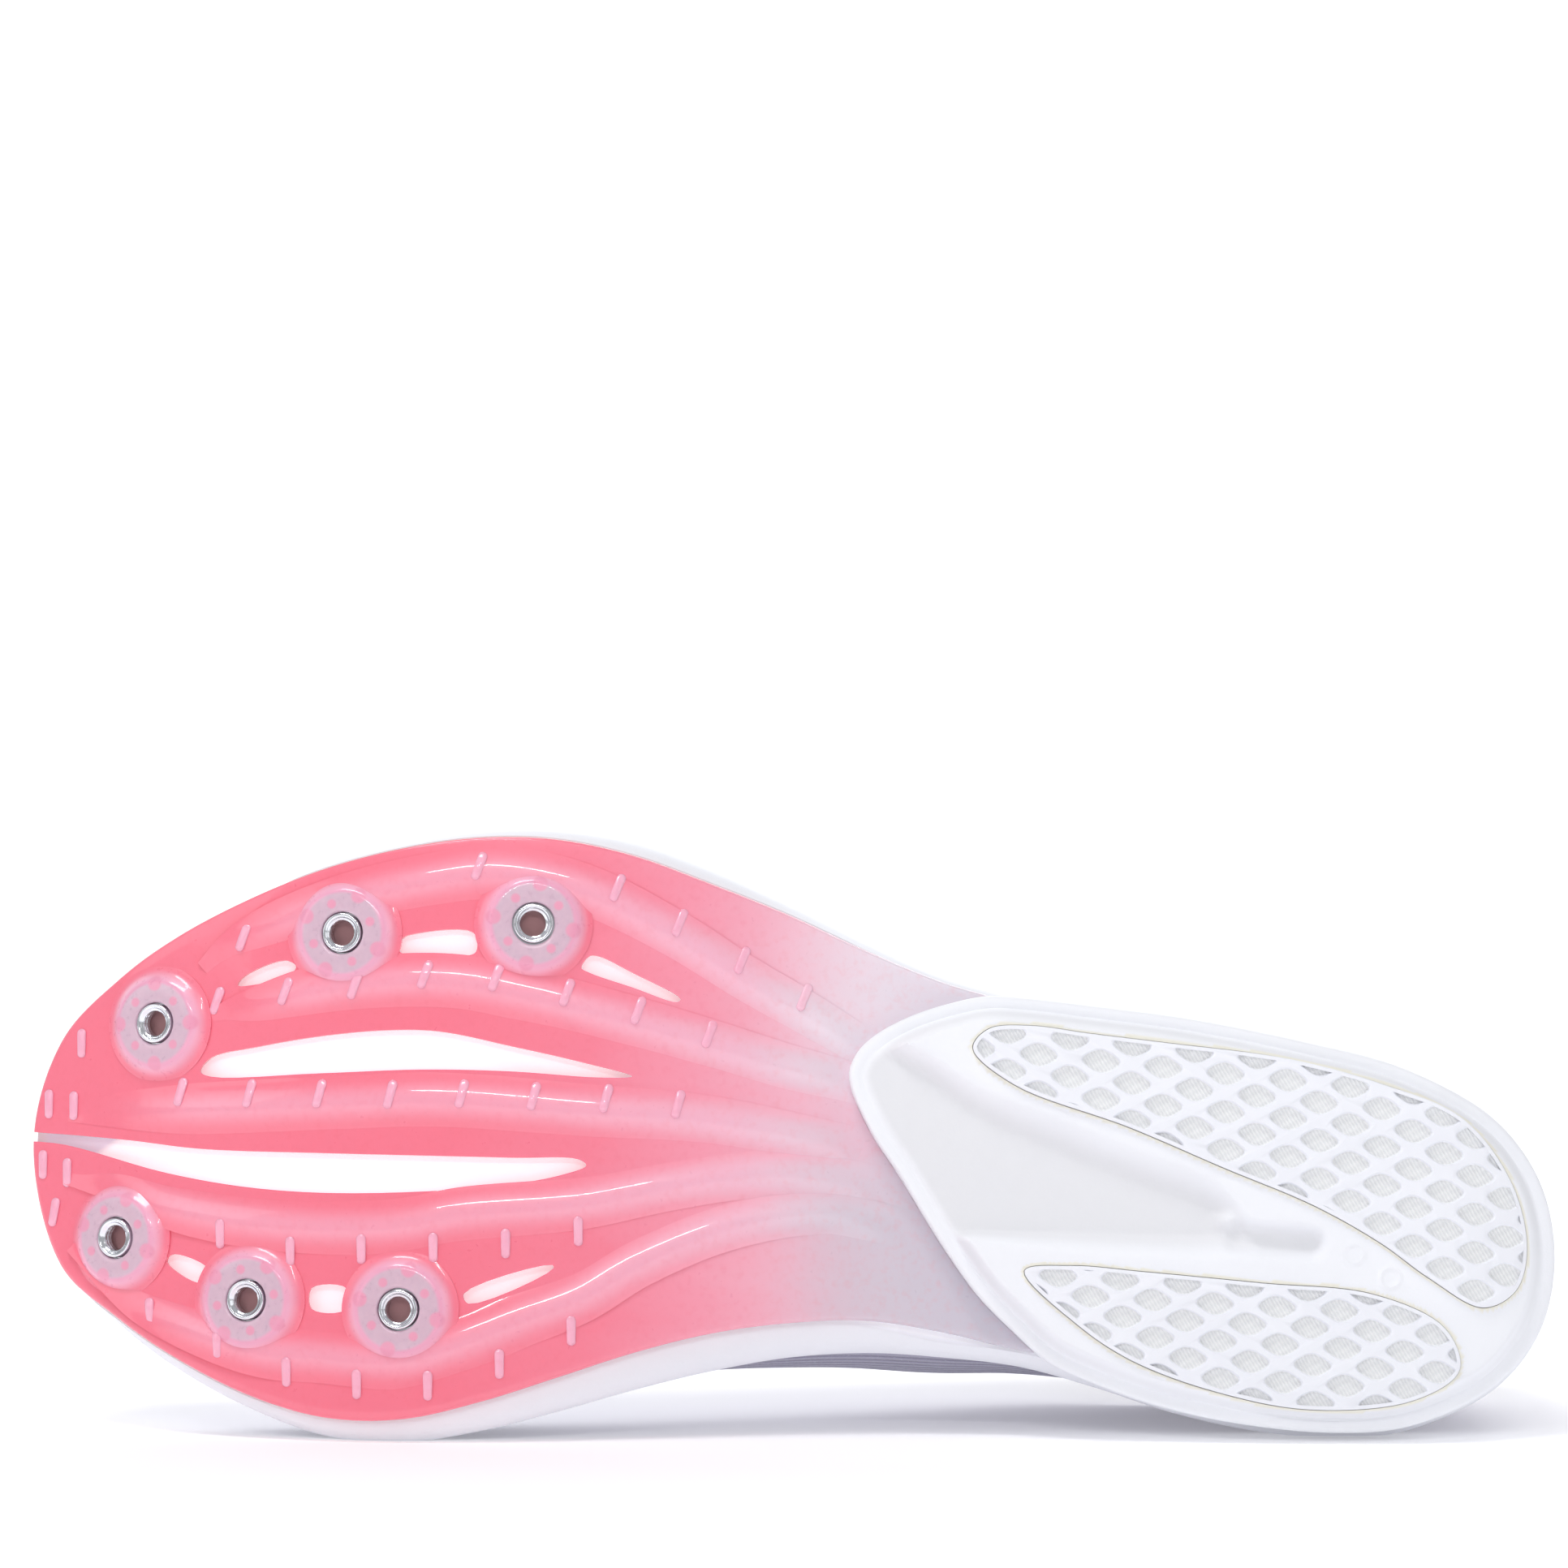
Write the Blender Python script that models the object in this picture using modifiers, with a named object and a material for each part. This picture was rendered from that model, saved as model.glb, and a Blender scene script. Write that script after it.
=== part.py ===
"""A left track spike shoe, empty, lying on its medial side.

Every piece is modelled on the upright shoe, in metres: x runs from the back of the heel to the toe,
y from the medial side to the lateral side, and z from the ground up. One empty lays the shoe down.
"""

import math

import bmesh
import bpy
import numpy as np
from mathutils import Matrix

# Driving dimensions of the last
LENGTH = 0.2850
BALL_WIDTH = 0.1132
HEEL_WIDTH = 0.0730
INSTEP_HEIGHT = 0.0620
HEEL_HEIGHT = 0.0620
TOE_SPRING = 0.0270
ARCH_RISE = 0.0097

# Walls and thicknesses
UPPER_WALL = 0.0015
FEATHER_INSET = 0.0045
MARGIN = 0.0060
HEEL_FOAM = 0.0100
PLATE = 0.0020
INSOLE = 0.0030
TONGUE = 0.0025
THROAT_WIDTH = 0.0350
GAP = 0.0003

# Heel piece: heights over the ground where its pads stand
PAD = 0.0022
PAD_PROUD = 0.0010
RIM_RISE = 0.0047
LIP = 0.0022
REAR_BEVEL = 0.0070

# Plate: ribs and wells
RIB_HEIGHT = 0.0013
RIB_ROOT = 0.0006
BOSS_RADIUS = 0.0100
BOSS_PROUD = 0.0020
FLANGE_RADIUS = 0.0078
FLANGE = 0.0008
RING_RADIUS = 0.0036
BORE_RADIUS = 0.0024

# Lace
LACE_WIDTH = 0.0060
LACE_THICKNESS = 0.0012
LACE_ROWS = 5
EYELET_INSET = 0.0070

# Rounded edges, and how far one piece keeps inside or past another
PLATE_ROUND = 0.0006
FOAM_ROUND = 0.0016
FOAM_PAST_PLATE = 0.0004
FOAM_UNDERCUT = 0.0025
INSOLE_CLEARANCE = 0.0008
INSOLE_ROUND = 0.0012
HEEL_ROUND = 0.0010
PAD_ROUND = 0.0007
BOSS_ROUND = 0.0010
FLANGE_SEAT = 0.0016
BORE_CHAMFER = 0.0003

# How far a cutter runs past what it cuts, and how far slot cutters reach up and down
PAST = 0.0010
CUT_LOW = -0.0200
CUT_HIGH = 0.0800

# How deep the floor flattens what rests on it, and the block that stands for the floor
REST_FLAT = 0.00035
FLOOR_SIDE = 0.6000
FLOOR_DEPTH = 0.1000

# Rays from the spine of the shoe to its edge: parallel in the middle, fanned at heel and toe
SECTIONS = 23
FAN = 6
HEEL_CENTRE = 0.125
TOE_CENTRE = 0.905

COLLECTION = bpy.data.collections.new("track_spike_shoe")
CUTTERS = bpy.data.collections.new("cutters")

# Edges seen from below. along: share of LENGTH. lateral, medial: shares of the local width
FOAM_EDGE = (
    # along, lateral, medial
    (0.000, 0.458, 0.458),
    (0.010, 0.652, 0.267),
    (0.040, 0.811, 0.119),
    (0.100, 0.938, 0.012),
    (0.150, 0.996, -0.004),
    (0.200, 1.041, 0.016),
    (0.250, 1.070, 0.060),
    (0.300, 1.068, 0.120),
    (0.350, 1.016, 0.161),
    (0.400, 0.970, 0.167),
    (0.450, 0.950, 0.162),
    (0.500, 0.946, 0.143),
    (0.550, 0.954, 0.114),
    (0.600, 0.979, 0.082),
    (0.650, 0.998, 0.047),
    (0.700, 0.996, 0.016),
    (0.750, 0.976, -0.002),
    (0.800, 0.943, 0.008),
    (0.850, 0.887, 0.052),
    (0.900, 0.823, 0.118),
    (0.940, 0.755, 0.191),
    (0.980, 0.650, 0.292),
    (0.996, 0.495, 0.495),
)
PLATE_EDGE = (
    # along, lateral, medial
    (0.020, 0.458, 0.458),
    (0.100, 0.800, 0.150),
    (0.200, 0.900, 0.160),
    (0.300, 0.960, 0.190),
    (0.350, 0.985, 0.198),
    (0.400, 0.949, 0.218),
    (0.450, 0.927, 0.222),
    (0.500, 0.920, 0.202),
    (0.550, 0.923, 0.175),
    (0.600, 0.950, 0.141),
    (0.650, 0.976, 0.101),
    (0.700, 0.979, 0.062),
    (0.750, 0.963, 0.035),
    (0.800, 0.933, 0.038),
    (0.850, 0.887, 0.074),
    (0.900, 0.827, 0.136),
    (0.940, 0.761, 0.202),
    (0.980, 0.663, 0.290),
    (1.000, 0.495, 0.495),
)

# Heights of the sole. arch: share of ARCH_RISE. spring: share of TOE_SPRING. foam: share of HEEL_FOAM
SOLE_HEIGHTS = (
    # along, arch, spring, foam
    (0.00, 1.00, 0.00, 1.00),
    (0.20, 1.00, 0.00, 1.00),
    (0.40, 1.00, 0.00, 0.98),
    (0.46, 1.00, 0.00, 0.95),
    (0.51, 0.80, 0.00, 0.90),
    (0.56, 0.55, 0.00, 0.85),
    (0.61, 0.33, 0.00, 0.81),
    (0.67, 0.18, 0.00, 0.77),
    (0.72, 0.15, 0.02, 0.74),
    (0.79, 0.15, 0.12, 0.69),
    (0.85, 0.15, 0.28, 0.63),
    (0.92, 0.15, 0.56, 0.57),
    (0.96, 0.15, 0.78, 0.53),
    (1.00, 0.15, 1.00, 0.50),
)

# The last. ridge: share of the local height. flank, crown: powers of the section's curve.
# lateral, medial: how far the wall bellies out, in shares of FEATHER_INSET
LAST = (
    # along, ridge, flank, crown, lateral, medial
    (0.125, 1.42, 0.64, 1.00, 0.50, 0.50),
    (0.210, 1.36, 0.66, 0.95, 0.50, 0.55),
    (0.300, 1.27, 0.70, 0.84, 0.50, 0.90),
    (0.350, 1.15, 0.74, 0.77, 0.50, 1.40),
    (0.420, 0.99, 0.80, 0.70, 0.50, 1.80),
    (0.490, 0.90, 0.82, 0.68, 0.50, 1.60),
    (0.560, 0.83, 0.84, 0.67, 0.50, 1.00),
    (0.650, 0.74, 0.85, 0.66, 0.50, 0.60),
    (0.735, 0.640, 0.87, 0.67, 0.50, 0.50),
    (0.810, 0.540, 0.90, 0.71, 0.45, 0.45),
    (0.860, 0.475, 0.94, 0.75, 0.40, 0.40),
    (0.905, 0.415, 0.98, 0.80, 0.35, 0.35),
)
SPINE = (
    # along, across as a share of the local width
    (0.125, 0.480),
    (0.350, 0.560),
    (0.550, 0.500),
    (0.700, 0.480),
    (0.905, 0.465),
)
# Top line of the collar: share of the local height
COLLAR = (
    # along, height
    (0.00, 1.00),
    (0.03, 0.99),
    (0.08, 0.90),
    (0.14, 0.81),
    (0.20, 0.77),
    (0.26, 0.81),
    (0.31, 0.92),
    (0.35, 1.01),
    (0.40, 1.04),
)
# Half of the throat: share of half of THROAT_WIDTH
THROAT = (
    # along, half
    (0.30, 1.10),
    (0.37, 1.00),
    (0.42, 0.88),
    (0.50, 0.78),
    (0.57, 0.72),
    (0.61, 0.62),
    (0.64, 0.40),
    (0.652, 0.00),
)
TONGUE_HALF = (
    # along, half of its width as a share of THROAT_WIDTH
    (0.300, 0.54),
    (0.340, 0.66),
    (0.450, 0.66),
    (0.600, 0.60),
    (0.700, 0.50),
)

# Heel piece and its two pads, closed outlines
HEEL_EDGE = (
    # along, across
    (0.004, 0.458),
    (0.013, 0.640),
    (0.042, 0.795),
    (0.100, 0.925),
    (0.165, 0.995),
    (0.240, 1.055),
    (0.300, 1.055),
    (0.345, 1.008),
    (0.371, 0.967),
    (0.394, 0.912),
    (0.420, 0.843),
    (0.443, 0.773),
    (0.456, 0.720),
    (0.461, 0.671),
    (0.447, 0.582),
    (0.430, 0.520),
    (0.401, 0.396),
    (0.378, 0.305),
    (0.358, 0.245),
    (0.334, 0.178),
    (0.303, 0.130),
    (0.264, 0.080),
    (0.214, 0.036),
    (0.150, 0.010),
    (0.100, 0.026),
    (0.045, 0.125),
    (0.014, 0.275),
)
PAD_LATERAL = (
    # along, across
    (0.381, 0.834),
    (0.371, 0.891),
    (0.345, 0.941),
    (0.305, 0.978),
    (0.256, 0.989),
    (0.176, 0.947),
    (0.116, 0.882),
    (0.065, 0.795),
    (0.033, 0.629),
    (0.024, 0.466),
    (0.032, 0.364),
    (0.054, 0.322),
    (0.089, 0.397),
    (0.119, 0.483),
    (0.161, 0.577),
    (0.220, 0.675),
    (0.281, 0.769),
    (0.355, 0.793),
)
PAD_MEDIAL = (
    # along, across
    (0.349, 0.378),
    (0.319, 0.408),
    (0.272, 0.412),
    (0.196, 0.385),
    (0.124, 0.355),
    (0.079, 0.270),
    (0.070, 0.167),
    (0.099, 0.092),
    (0.166, 0.069),
    (0.227, 0.115),
    (0.280, 0.190),
    (0.315, 0.269),
)
# The bare valley between the pads: its floor, and the brow where its slopes begin
VALLEY = (
    # floor_along, floor_across, brow_along, brow_across
    (0.480, 0.698, 0.480, 0.728),
    (0.428, 0.736, 0.422, 0.786),
    (0.381, 0.691, 0.379, 0.769),
    (0.288, 0.641, 0.288, 0.740),
    (0.223, 0.560, 0.223, 0.648),
    (0.216, 0.537, 0.202, 0.550),
    (0.223, 0.519, 0.200, 0.462),
    (0.304, 0.501, 0.277, 0.445),
    (0.379, 0.449, 0.381, 0.420),
    (0.480, 0.396, 0.480, 0.371),
)

# Openings cut through the plate, closed outlines, along and across
SLOTS = {
    "toe": (
        (1.020, 0.518), (0.989, 0.510), (0.934, 0.494), (0.884, 0.477), (0.803, 0.467), (0.679, 0.457),
        (0.636, 0.454), (0.631, 0.444), (0.645, 0.430), (0.688, 0.411), (0.781, 0.401), (0.846, 0.411),
        (0.906, 0.436), (0.977, 0.483), (1.020, 0.500),
    ),
    "ball": (
        (0.884, 0.604), (0.877, 0.626), (0.846, 0.642), (0.803, 0.658), (0.759, 0.666), (0.726, 0.663),
        (0.679, 0.638), (0.634, 0.612), (0.601, 0.589), (0.623, 0.587), (0.679, 0.597), (0.737, 0.601),
        (0.803, 0.597), (0.877, 0.595),
    ),
    "lateral_front": (
        (0.859, 0.744), (0.855, 0.758), (0.827, 0.783), (0.820, 0.772), (0.825, 0.758), (0.851, 0.743),
    ),
    "lateral_middle": (
        (0.753, 0.798), (0.750, 0.816), (0.742, 0.823), (0.704, 0.824), (0.702, 0.793), (0.708, 0.786),
        (0.748, 0.789),
    ),
    "lateral_rear": (
        (0.634, 0.766), (0.629, 0.785), (0.623, 0.785), (0.601, 0.758), (0.570, 0.721), (0.572, 0.715),
        (0.601, 0.734), (0.629, 0.758),
    ),
    "medial_front": ((0.906, 0.297), (0.901, 0.305), (0.878, 0.280), (0.883, 0.258), (0.904, 0.286)),
    "medial_middle": ((0.809, 0.248), (0.786, 0.247), (0.787, 0.212), (0.809, 0.214)),
    "medial_rear": ((0.710, 0.237), (0.653, 0.283), (0.652, 0.278), (0.707, 0.221)),
}

# Centre lines of the raised ribs, along and across, from the toe back to the heel piece
RIBS = {
    "lateral": (
        (0.879, 0.762), (0.855, 0.813), (0.794, 0.874), (0.725, 0.913), (0.688, 0.922), (0.635, 0.894),
        (0.575, 0.823), (0.533, 0.779), (0.492, 0.755), (0.462, 0.740),
    ),
    "lateral_inner": (
        (0.879, 0.676), (0.841, 0.709), (0.800, 0.734), (0.748, 0.747), (0.710, 0.743), (0.673, 0.724),
        (0.635, 0.700), (0.560, 0.656), (0.503, 0.648), (0.466, 0.658),
    ),
    "middle": (
        (0.975, 0.553), (0.898, 0.543), (0.785, 0.549), (0.725, 0.552), (0.635, 0.534), (0.560, 0.527),
        (0.485, 0.535),
    ),
    "medial_inner": (
        (0.975, 0.449), (0.936, 0.421), (0.898, 0.383), (0.841, 0.355), (0.785, 0.345), (0.748, 0.349),
        (0.710, 0.366), (0.635, 0.383), (0.578, 0.413), (0.522, 0.450), (0.466, 0.476),
    ),
    "medial": (
        (0.968, 0.332), (0.924, 0.232), (0.886, 0.185), (0.841, 0.147), (0.804, 0.138), (0.748, 0.128),
        (0.710, 0.156), (0.673, 0.194), (0.635, 0.232), (0.597, 0.289), (0.541, 0.355), (0.485, 0.405),
        (0.452, 0.412),
    ),
}
# Half widths of a rib along its way, front end to rear end, in metres
RIB_HALF = (0.0022, 0.0040, 0.0042, 0.0042, 0.0040, 0.0036, 0.0030)

WELLS = {
    "spike_well_lateral_1": (0.912, 0.684),
    "spike_well_lateral_2": (0.788, 0.825),
    "spike_well_lateral_3": (0.665, 0.837),
    "spike_well_medial_1": (0.938, 0.333),
    "spike_well_medial_2": (0.850, 0.229),
    "spike_well_medial_3": (0.751, 0.212),
}


def smooth_step(value):
    """Rises from 0 to 1 as the value does, level at both ends."""
    value = np.clip(value, 0.0, 1.0)
    return value * value * (3.0 - 2.0 * value)


def curve_through(places, values, at):
    """A smooth curve through the values, read at any place; beyond the ends it stays level."""
    places = np.asarray(places, float)
    values = np.asarray(values, float)
    slopes = np.gradient(values, places)
    at = np.clip(at, places[0], places[-1])
    index = np.clip(np.searchsorted(places, at) - 1, 0, len(places) - 2)
    width = places[index + 1] - places[index]
    share = (at - places[index]) / width
    rise = smooth_step(share)
    value = values[index] * (1.0 - rise) + values[index + 1] * rise
    value += slopes[index] * width * share * (1.0 - share) ** 2
    value -= slopes[index + 1] * width * share**2 * (1.0 - share)
    return value


def column(table, name_index, along):
    """One column of a table of sections, read at a place along the shoe."""
    rows = np.array(table)
    return curve_through(rows[:, 0], rows[:, name_index], np.asarray(along) / LENGTH)


def local_width(along):
    """The width that shares across the shoe are taken of: the heel's behind, the ball's in front."""
    return HEEL_WIDTH + (BALL_WIDTH - HEEL_WIDTH) * smooth_step((along / LENGTH - 0.25) / 0.35)


def local_height(along):
    """The height that shares of the last are taken of: the heel's behind, the instep's in front."""
    return HEEL_HEIGHT + (INSTEP_HEIGHT - HEEL_HEIGHT) * smooth_step((along / LENGTH - 0.20) / 0.20)


def in_plan(points):
    """Shares of length and local width, as metres."""
    points = np.array(points, float)
    along = points[:, 0] * LENGTH
    return np.stack([along, points[:, 1] * local_width(along)], axis=1)


def smooth_path(points, count):
    """Evenly placed points on an open smooth curve through the given ones."""
    steps = np.sqrt(np.linalg.norm(np.diff(points, axis=0), axis=1))
    place = np.concatenate([[0.0], np.cumsum(steps)])
    at = np.linspace(0.0, place[-1], count)
    return np.stack([curve_through(place, points[:, axis], at) for axis in (0, 1)], axis=1)


def closed_curve(points, steps):
    """Points on a smooth closed curve through the given ones, counterclockwise."""
    count = len(points)
    wrapped = np.concatenate([points[-3:], points, points[:3]])
    spans = np.sqrt(np.linalg.norm(np.diff(wrapped, axis=0), axis=1))
    place = np.concatenate([[0.0], np.cumsum(spans)])
    knots = place[3 : 4 + count]
    at = (knots[:-1, None] + np.diff(knots)[:, None] * np.arange(steps) / steps).ravel()
    curve = np.stack([curve_through(place, wrapped[:, axis], at) for axis in (0, 1)], axis=1)
    nexts = np.roll(curve, -1, axis=0)
    area = np.sum(curve[:, 0] * nexts[:, 1] - curve[:, 1] * nexts[:, 0])
    return curve if area > 0 else curve[::-1]


def edge_curve(table, steps=6):
    """The closed curve round a table of lateral and medial edges."""
    rows = np.array(table)
    lateral = rows[:, [0, 1]]
    medial = rows[-2:0:-1, [0, 2]]
    return closed_curve(in_plan(np.concatenate([lateral, medial])), steps)


def grown(outline, distance):
    """A closed counterclockwise outline moved outwards, or inwards where the distance is negative."""
    ahead = np.roll(outline, -1, axis=0) - np.roll(outline, 1, axis=0)
    ahead /= np.linalg.norm(ahead, axis=1)[:, None]
    return outline + distance * np.stack([ahead[:, 1], -ahead[:, 0]], axis=1)


def spine_across(along):
    return column(SPINE, 1, along) * local_width(along)


def make_rays():
    """Where each ray starts on the spine and its direction, from the heel's back by the medial side."""
    middle = np.linspace(HEEL_CENTRE, TOE_CENTRE, SECTIONS) * LENGTH
    fan = np.linspace(0.0, math.pi / 2, FAN + 1, endpoint=False)
    half = [(HEEL_CENTRE * LENGTH, -math.cos(turn), math.sin(turn)) for turn in fan]
    half += [(along, 0.0, 1.0) for along in middle]
    half += [(TOE_CENTRE * LENGTH, math.cos(turn), math.sin(turn)) for turn in fan[::-1]]
    half = np.array(half)
    other = half[-2:0:-1]
    along = np.concatenate([half[:, 0], other[:, 0]])
    starts = np.stack([along, spine_across(along)], axis=1)
    side = np.concatenate([-np.ones(len(half)), np.ones(len(other))])
    across = np.concatenate([half[:, 2], other[:, 2]]) * side
    directions = np.stack([np.concatenate([half[:, 1], other[:, 1]]), across], axis=1)
    return starts, directions, side


STARTS, RAYS, SIDE = make_rays()


def cross(a, b):
    return a[..., 0] * b[..., 1] - a[..., 1] * b[..., 0]


def reach(outline):
    """How far each ray runs from the spine before it meets the closed outline."""
    edges = np.roll(outline, -1, axis=0) - outline
    offset = outline[None] - STARTS[:, None]
    turn = cross(RAYS[:, None], edges[None])
    turn = np.where(np.abs(turn) < 1e-12, 1e-12, turn)
    distance = cross(offset, edges[None]) / turn
    place = cross(offset, RAYS[:, None]) / turn
    met = (place >= 0.0) & (place < 1.0) & (distance > 0.0)
    return np.where(met, distance, np.inf).min(axis=1)


def underside(along):
    """Height of the plate's flat underside over the ground."""
    return column(SOLE_HEIGHTS, 1, along) * ARCH_RISE + column(SOLE_HEIGHTS, 2, along) * TOE_SPRING


def foam_bottom(along):
    return underside(along) + PLATE + GAP


def foam_top(along):
    return foam_bottom(along) + column(SOLE_HEIGHTS, 3, along) * HEEL_FOAM


def ring(distance, height):
    """A closed ring of points at a distance along the rays, at a height that is a function of x."""
    plan = STARTS + RAYS * np.broadcast_to(distance, SIDE.shape)[:, None]
    return np.column_stack([plan, height(plan[:, 0])])


def material(name, colour, roughness, metallic=0.0):
    finish = bpy.data.materials.new(name)
    finish.use_nodes = True
    shader = finish.node_tree.nodes["Principled BSDF"]
    shader.inputs["Base Color"].default_value = (*colour, 1.0)
    shader.inputs["Roughness"].default_value = roughness
    shader.inputs["Metallic"].default_value = metallic
    finish.diffuse_color = (*colour, 1.0)
    return finish


def add_object(name, points, faces, finish=None):
    """A mesh object in the collection of the shoe, or a cutter where it has no finish."""
    mesh = bpy.data.meshes.new(name)
    mesh.from_pydata([tuple(point) for point in points], [], faces)
    clean = bmesh.new()
    clean.from_mesh(mesh)
    bmesh.ops.remove_doubles(clean, verts=clean.verts, dist=1e-6)
    bmesh.ops.recalc_face_normals(clean, faces=clean.faces)
    clean.to_mesh(mesh)
    clean.free()
    added = bpy.data.objects.new(name, mesh)
    if finish is None:
        CUTTERS.objects.link(added)
        added.hide_render = True
        added.display_type = "WIRE"
    else:
        COLLECTION.objects.link(added)
        mesh.materials.append(finish)
        mesh.shade_smooth()
        mesh.set_sharp_from_angle(angle=math.radians(35))
    return added


def band(rings, closed=True):
    """Faces between rings of equal length; a closed ring joins its last point to its first."""
    count = len(rings[0])
    here = np.arange(count if closed else count - 1)
    after = (here + 1) % count
    faces = []
    for level in range(len(rings) - 1):
        low, high = level * count, (level + 1) * count
        faces += np.stack([low + here, low + after, high + after, high + here], axis=1).tolist()
    return np.concatenate(rings), faces


def sole_solid(name, rings, finish):
    """A closed solid through rings about the spine; the first and the last ring lie on the spine."""
    return add_object(name, *band(rings), finish)


def stack(name, rings, finish=None):
    """A closed solid through level outlines, capped at both ends. rings: outline, height."""
    levels = [np.column_stack([plan, np.full(len(plan), height)]) for plan, height in rings]
    points, faces = band(levels)
    count = len(levels[0])
    faces.append(list(range(count)))
    faces.append(list(range(len(points) - count, len(points))))
    return add_object(name, points, faces, finish)


def boolean(target, other, operation):
    change = target.modifiers.new(other.name, "BOOLEAN")
    change.object = other
    change.operation = operation
    change.solver = "EXACT"


def bake(target):
    """Makes the modifiers' result the object's own mesh."""
    bpy.context.view_layer.update()
    graph = bpy.context.evaluated_depsgraph_get()
    mesh = bpy.data.meshes.new_from_object(target.evaluated_get(graph))
    target.modifiers.clear()
    target.data = mesh


# Shared outlines and reaches
FOAM_REACH = reach(edge_curve(FOAM_EDGE))
PLATE_REACH = reach(edge_curve(PLATE_EDGE))
FEATHER_REACH = FOAM_REACH - FEATHER_INSET
HEEL_OUTLINE = closed_curve(in_plan(HEEL_EDGE), 2)
EDGE_ALONG = (STARTS + RAYS * FOAM_REACH[:, None])[:, 0]


def add_midsole():
    """White foam from the plate up to the foot bed, flared out past the plate."""
    front = smooth_step((EDGE_ALONG / LENGTH - 0.38) / 0.10)
    round_plate = np.minimum(PLATE_REACH + FOAM_PAST_PLATE, FOAM_REACH - GAP)
    bottom = (FOAM_REACH - FOAM_UNDERCUT) * (1.0 - front) + round_plate * front

    def at(share):
        return lambda along: foam_bottom(along) + share * (foam_top(along) - foam_bottom(along))

    rings = [
        ring(0.0, at(0.0)),
        ring(0.5 * PLATE_REACH, at(0.0)),
        ring(bottom, at(0.0)),
        ring(0.35 * bottom + 0.65 * FOAM_REACH, at(0.22)),
        ring(FOAM_REACH, at(0.52)),
        ring(FOAM_REACH - 0.2 * FOAM_ROUND, at(0.80)),
        ring(FOAM_REACH - FOAM_ROUND, at(1.0)),
        ring(FEATHER_REACH - MARGIN, at(1.0)),
        ring(0.5 * FEATHER_REACH, at(1.0)),
        ring(0.0, at(1.0)),
    ]
    return sole_solid("midsole", rings, material("foam_white", (0.86, 0.86, 0.90), 0.6))


def add_insole():
    """A thin foam sheet inside, on the upper's turned-in margin."""
    edge = FEATHER_REACH - UPPER_WALL - INSOLE_CLEARANCE

    def under(along):
        return foam_top(along) + GAP + UPPER_WALL + GAP

    def over(along):
        return under(along) + INSOLE

    rings = [
        ring(0.0, under),
        ring(0.5 * FEATHER_REACH, under),
        ring(edge, under),
        ring(edge, lambda along: under(along) + 0.6 * INSOLE),
        ring(edge - INSOLE_ROUND, over),
        ring(0.5 * FEATHER_REACH, over),
        ring(0.0, over),
    ]
    return sole_solid("insole", rings, material("insole_cloth", (0.42, 0.42, 0.47), 0.9))


def wall_point(start, direction, half, foot, peak, flank, crown, belly, climb):
    """A point of the last's surface. climb runs from 0 at the sole to 1 on the ridge.

    The plan distance shrinks from half to 0 as the cosine of the climb to the power flank, and the
    height rises from foot to peak as its sine to the power crown; a belly leans out low on the wall.
    """
    turn = climb * math.pi / 2
    inward = np.clip(np.cos(turn), 0.0, 1.0) ** flank
    rise = np.clip(np.sin(turn), 0.0, 1.0) ** crown
    distance = half * inward + belly * np.sin(math.pi * rise**0.6)
    plan = start + direction * distance[..., None]
    return np.concatenate([plan, (foot + (peak - foot) * rise)[..., None]], axis=-1)


def belly_at(along, side):
    lateral = column(LAST, 4, along)
    medial = column(LAST, 5, along)
    return np.where(side > 0, lateral, medial) * FEATHER_INSET


def climb_to_height(height, foot, peak, crown):
    """The climb at which a section reaches a height."""
    share = np.clip((height - foot) / (peak - foot), 0.0, 1.0)
    return np.arcsin(share ** (1.0 / crown)) * 2 / math.pi


def climb_to_half(half, edge, flank):
    """The climb at which a section is this far from the spine."""
    share = np.clip(half / edge, 0.0, 1.0)
    return np.arccos(share ** (1.0 / flank)) * 2 / math.pi


def upper_sections():
    """The last's values for every ray."""
    centre = STARTS[:, 0]
    feather_along = (STARTS + RAYS * FEATHER_REACH[:, None])[:, 0]
    foot = foam_top(feather_along) + GAP
    peak = foam_top(centre) + column(LAST, 1, centre) * local_height(centre)
    return {
        "along": feather_along,
        "foot": foot,
        "peak": peak,
        "flank": column(LAST, 2, centre),
        "crown": column(LAST, 3, centre),
        "belly": belly_at(centre, SIDE),
    }


def opening_climb(last):
    """How far up each section the wall goes: to the collar behind, to the throat's edge in front."""
    along = last["along"]
    collar = foam_top(along) + column(COLLAR, 1, along) * local_height(along)
    by_height = climb_to_height(collar, last["foot"], last["peak"], last["crown"])
    half = column(THROAT, 1, along) * THROAT_WIDTH / 2
    by_half = climb_to_half(half, FEATHER_REACH, last["flank"])
    front = smooth_step((along / LENGTH - 0.33) / 0.06)
    climb = by_height * (1.0 - front) + by_half * front
    return np.where(along / LENGTH >= THROAT[-1][0] - 1e-6, 1.0, climb)


def add_upper(levels=9):
    """One hollow knitted wall on the last, open at collar and throat, its lower margin turned in."""
    last = upper_sections()
    top = opening_climb(last)
    margin = ring(FEATHER_REACH - MARGIN, lambda along: foam_top(along) + GAP)
    rings = [margin]
    for level in range(levels):
        climb = (level / (levels - 1)) ** 1.35 * top
        rings.append(
            wall_point(
                STARTS,
                RAYS,
                FEATHER_REACH,
                last["foot"],
                last["peak"],
                last["flank"],
                last["crown"],
                last["belly"],
                climb,
            )
        )
    upper = add_object("upper", *band(rings), material("knit_lavender_grey", (0.33, 0.32, 0.42), 0.85))
    face_outwards(upper)
    wall = upper.modifiers.new("wall", "SOLIDIFY")
    wall.thickness = UPPER_WALL
    wall.offset = -1.0
    wall.use_even_offset = True
    return upper


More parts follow.
